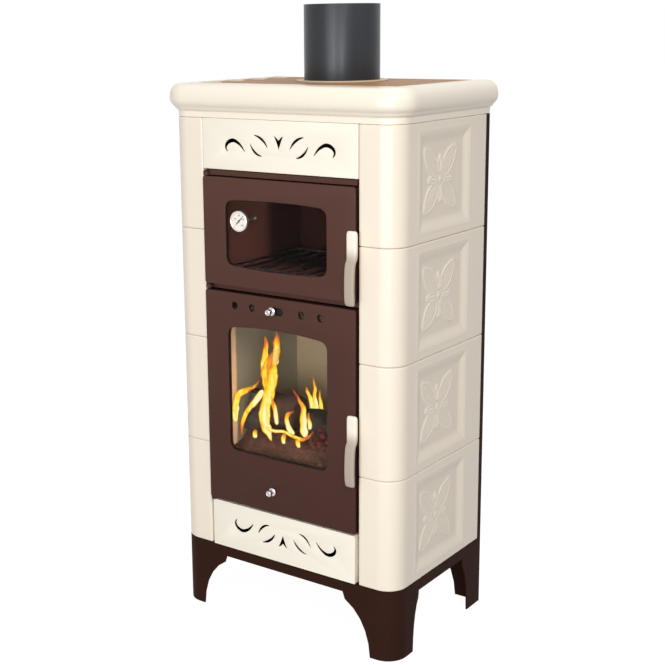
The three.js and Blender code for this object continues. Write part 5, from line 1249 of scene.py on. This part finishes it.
def make_flame_finish(name):
    """Light without a surface: colour by facing and rise on a ramp, alpha fading at the rim and tip."""
    finish, tree, shader, place = start_finish(name, Base_Color=(0, 0, 0, 1), Roughness=1.0,
                                               Specular_IOR_Level=0.0, Emission_Strength=1.0)
    facing = put(tree, "LayerWeight", {"Blend": 0.5}).outputs["Facing"]
    rise = carried(tree, "rise")
    wisps = put(tree, "Mapping", {"Vector": place, "Scale": (1.0, 1.0, 0.22)}).outputs[0]
    flicker = noise(tree, wisps, 120.0, Detail=3.0, Distortion=0.5)
    heat = reckon(tree, "MULTIPLY", remap(tree, facing, 0.2, 0.95, 1, 0), remap(tree, rise, 0.25, 1, 1, 0.25))
    heat = reckon(tree, "ADD", heat, remap(tree, flicker, 0.32, 0.68, -0.34, 0.2), clamp=True)
    ramp = put(tree, "ValToRGB", {0: heat})
    colours = [(0.0, srgb(178, 56, 38)), (0.16, srgb(222, 96, 58)), (0.32, srgb(244, 150, 44)),
               (0.5, srgb(251, 208, 44)), (0.78, srgb(253, 236, 92)), (1.0, srgb(255, 250, 200))]
    elements = ramp.color_ramp.elements
    for stop, _ in colours[1:-1]:
        elements.new(stop)
    for element, (stop, colour) in zip(elements, colours):
        element.position, element.color = stop, colour
    rim, tip = remap(tree, facing, 0.55, 0.98, 1, 0), remap(tree, rise, 0.7, 1, 1, 0.25)
    feed(shader, Emission_Color=ramp.outputs["Color"], Alpha=reckon(tree, "MULTIPLY", rim, tip))
    return finish


flame_light = make_flame_finish("flame_light")
lit = [flame(depth, marks, 40 + 2 * number) for number, (depth, marks) in enumerate(FLAMES)]
rises = np.concatenate([rise.reshape(-1) for _, rise in lit])
flames = bundle("flames", [grid for grid, _ in lit], sharp=80, values={"rise": rises})
dress(flames, "root", "fire_clay", flame_light)

# %% [markdown]
# ## Finishes of the solids that stay
# Flat pieces and hidden ones keep their CAD mesh and only get a finish.

# %% Finishes on the CAD's own pieces
def paint(finish, *nodes):
    """Put a finish on CAD nodes."""
    for node in nodes:
        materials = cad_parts[node].data.materials
        materials.clear()
        materials.append(finish)
    print(finish.name, "on", *nodes)


paint(cover_enamel, "top_plate")
paint(cream_enamel, "top_vent_grille")
paint(base_enamel, "base_frame", "base_plate", "back_panel")
paint(frame_enamel, "front_frame")
paint(black_steel, "chamber_wall_right", "chamber_wall_left", "chamber_wall_back", "chamber_roof",
      "ash_floor", "firebox_floor", "ash_pan", "fire_door_liner", "secondary_air_slide",
      "primary_air_damper", "oven_glass_retainer", "fire_glass_retainer", "oven_latch", "fire_latch",
      "hinge_pin_upper", "hinge_pin_middle", "hinge_pin_lower")
paint(cast_grate, "fire_grate", "baffle_plate")
paint(fire_clay, "firebrick_right", "firebrick_left")
paint(back_clay, "firebrick_back")
paint(oven_enamel, "oven_box")
paint(bright_wire, "thermometer_probe")
paint(needle_black, "thermometer_pointer")
paint(door_glass, "oven_glass", "fire_glass")

# %% [markdown]
# ## The studio
# A pale floor, a white surround and soft lamps. The key lamp stands in front, a little to the right, and
# keeps the whole front bright. A second one, high at the right, makes the right-hand side paler at the top
# than at the foot, as in the photograph, and a low one between the two faces the round corners. The floor and
# the world show white to the camera, but light the stove only gently.

# %% World, floor and lamps
WORLD_LIGHT = 0.33
FLOOR_TONE, FLOOR_REACH = 0.22, 30

scene = bpy.context.scene
scene.view_settings.view_transform = "Standard"
world = bpy.data.worlds.new("studio")
scene.world = world
world.use_nodes = True


def seen_directly(tree):
    """1 for rays that show the studio itself: camera, mirror and glass rays."""
    path = put(tree, "LightPath").outputs
    seen = reckon(tree, "MAXIMUM", path["Is Camera Ray"], path["Is Transmission Ray"])
    return reckon(tree, "MAXIMUM", seen, path["Is Glossy Ray"])


world_tree = world.node_tree
level_of_world = remap(world_tree, seen_directly(world_tree), 0, 1, WORLD_LIGHT, 1)
background = world_tree.nodes["Background"]
background.inputs["Color"].default_value = (1, 1, 1, 1)
world_tree.links.new(level_of_world, background.inputs["Strength"])

reach = np.linspace(-FLOOR_REACH, FLOOR_REACH, 3)
floor = skin("floor", coords(reach[:, None], reach, 0.0))
floor_finish, tree, shader, place = start_finish("pale_floor", Roughness=0.9, Specular_IOR_Level=0.0,
                                                 Emission_Color=(1, 1, 1, 1))
tones = [(tone, tone, tone, 1) for tone in (FLOOR_TONE, FLOOR_TONE - 0.01)]
feed(shader, Base_Color=mottled(tree, place, *tones, 2.0, 1.0)["Colour"],
     Emission_Strength=remap(tree, seen_directly(tree), 0, 1, 0, 1.02 - FLOOR_TONE * WORLD_LIGHT))
floor.data.materials.append(floor_finish)


def lamp(name, place, aim, size, power, colour=(1, 1, 1)):
    """A soft rectangular lamp that looks at a point."""
    light = bpy.data.lights.new(name, "AREA")
    light.shape = "RECTANGLE"
    light.size, light.size_y = size
    light.energy = power
    light.color = colour
    turned = (Vector(aim) - Vector(place)).to_track_quat("-Z", "Y").to_matrix().to_4x4()
    add_object(name, light).matrix_world = Matrix.Translation(place) @ turned


lamp("key", (0.25, -3.6, 1.0), (0, -0.1, 0.45), (1.6, 1.7), 50, (1.0, 0.99, 0.97))
lamp("side", (2.5, -2.3, 2.9), (0.2, -0.1, 1.1), (1.1, 1.1), 38, (1.0, 0.985, 0.96))
lamp("low", (2.0, -3.1, 0.75), (0.1, -0.1, 0.65), (1.3, 1.3), 36, (1.0, 0.985, 0.96))
lamp("fill", (3.0, 0.2, 2.6), (0.2, 0.1, 1.0), (1.2, 1.2), 8, (1.0, 0.975, 0.94))
lamp("top", (0.2, 0.4, 3.2), (0, 0, 1.0), (1.6, 1.6), 18)
print("studio ready")
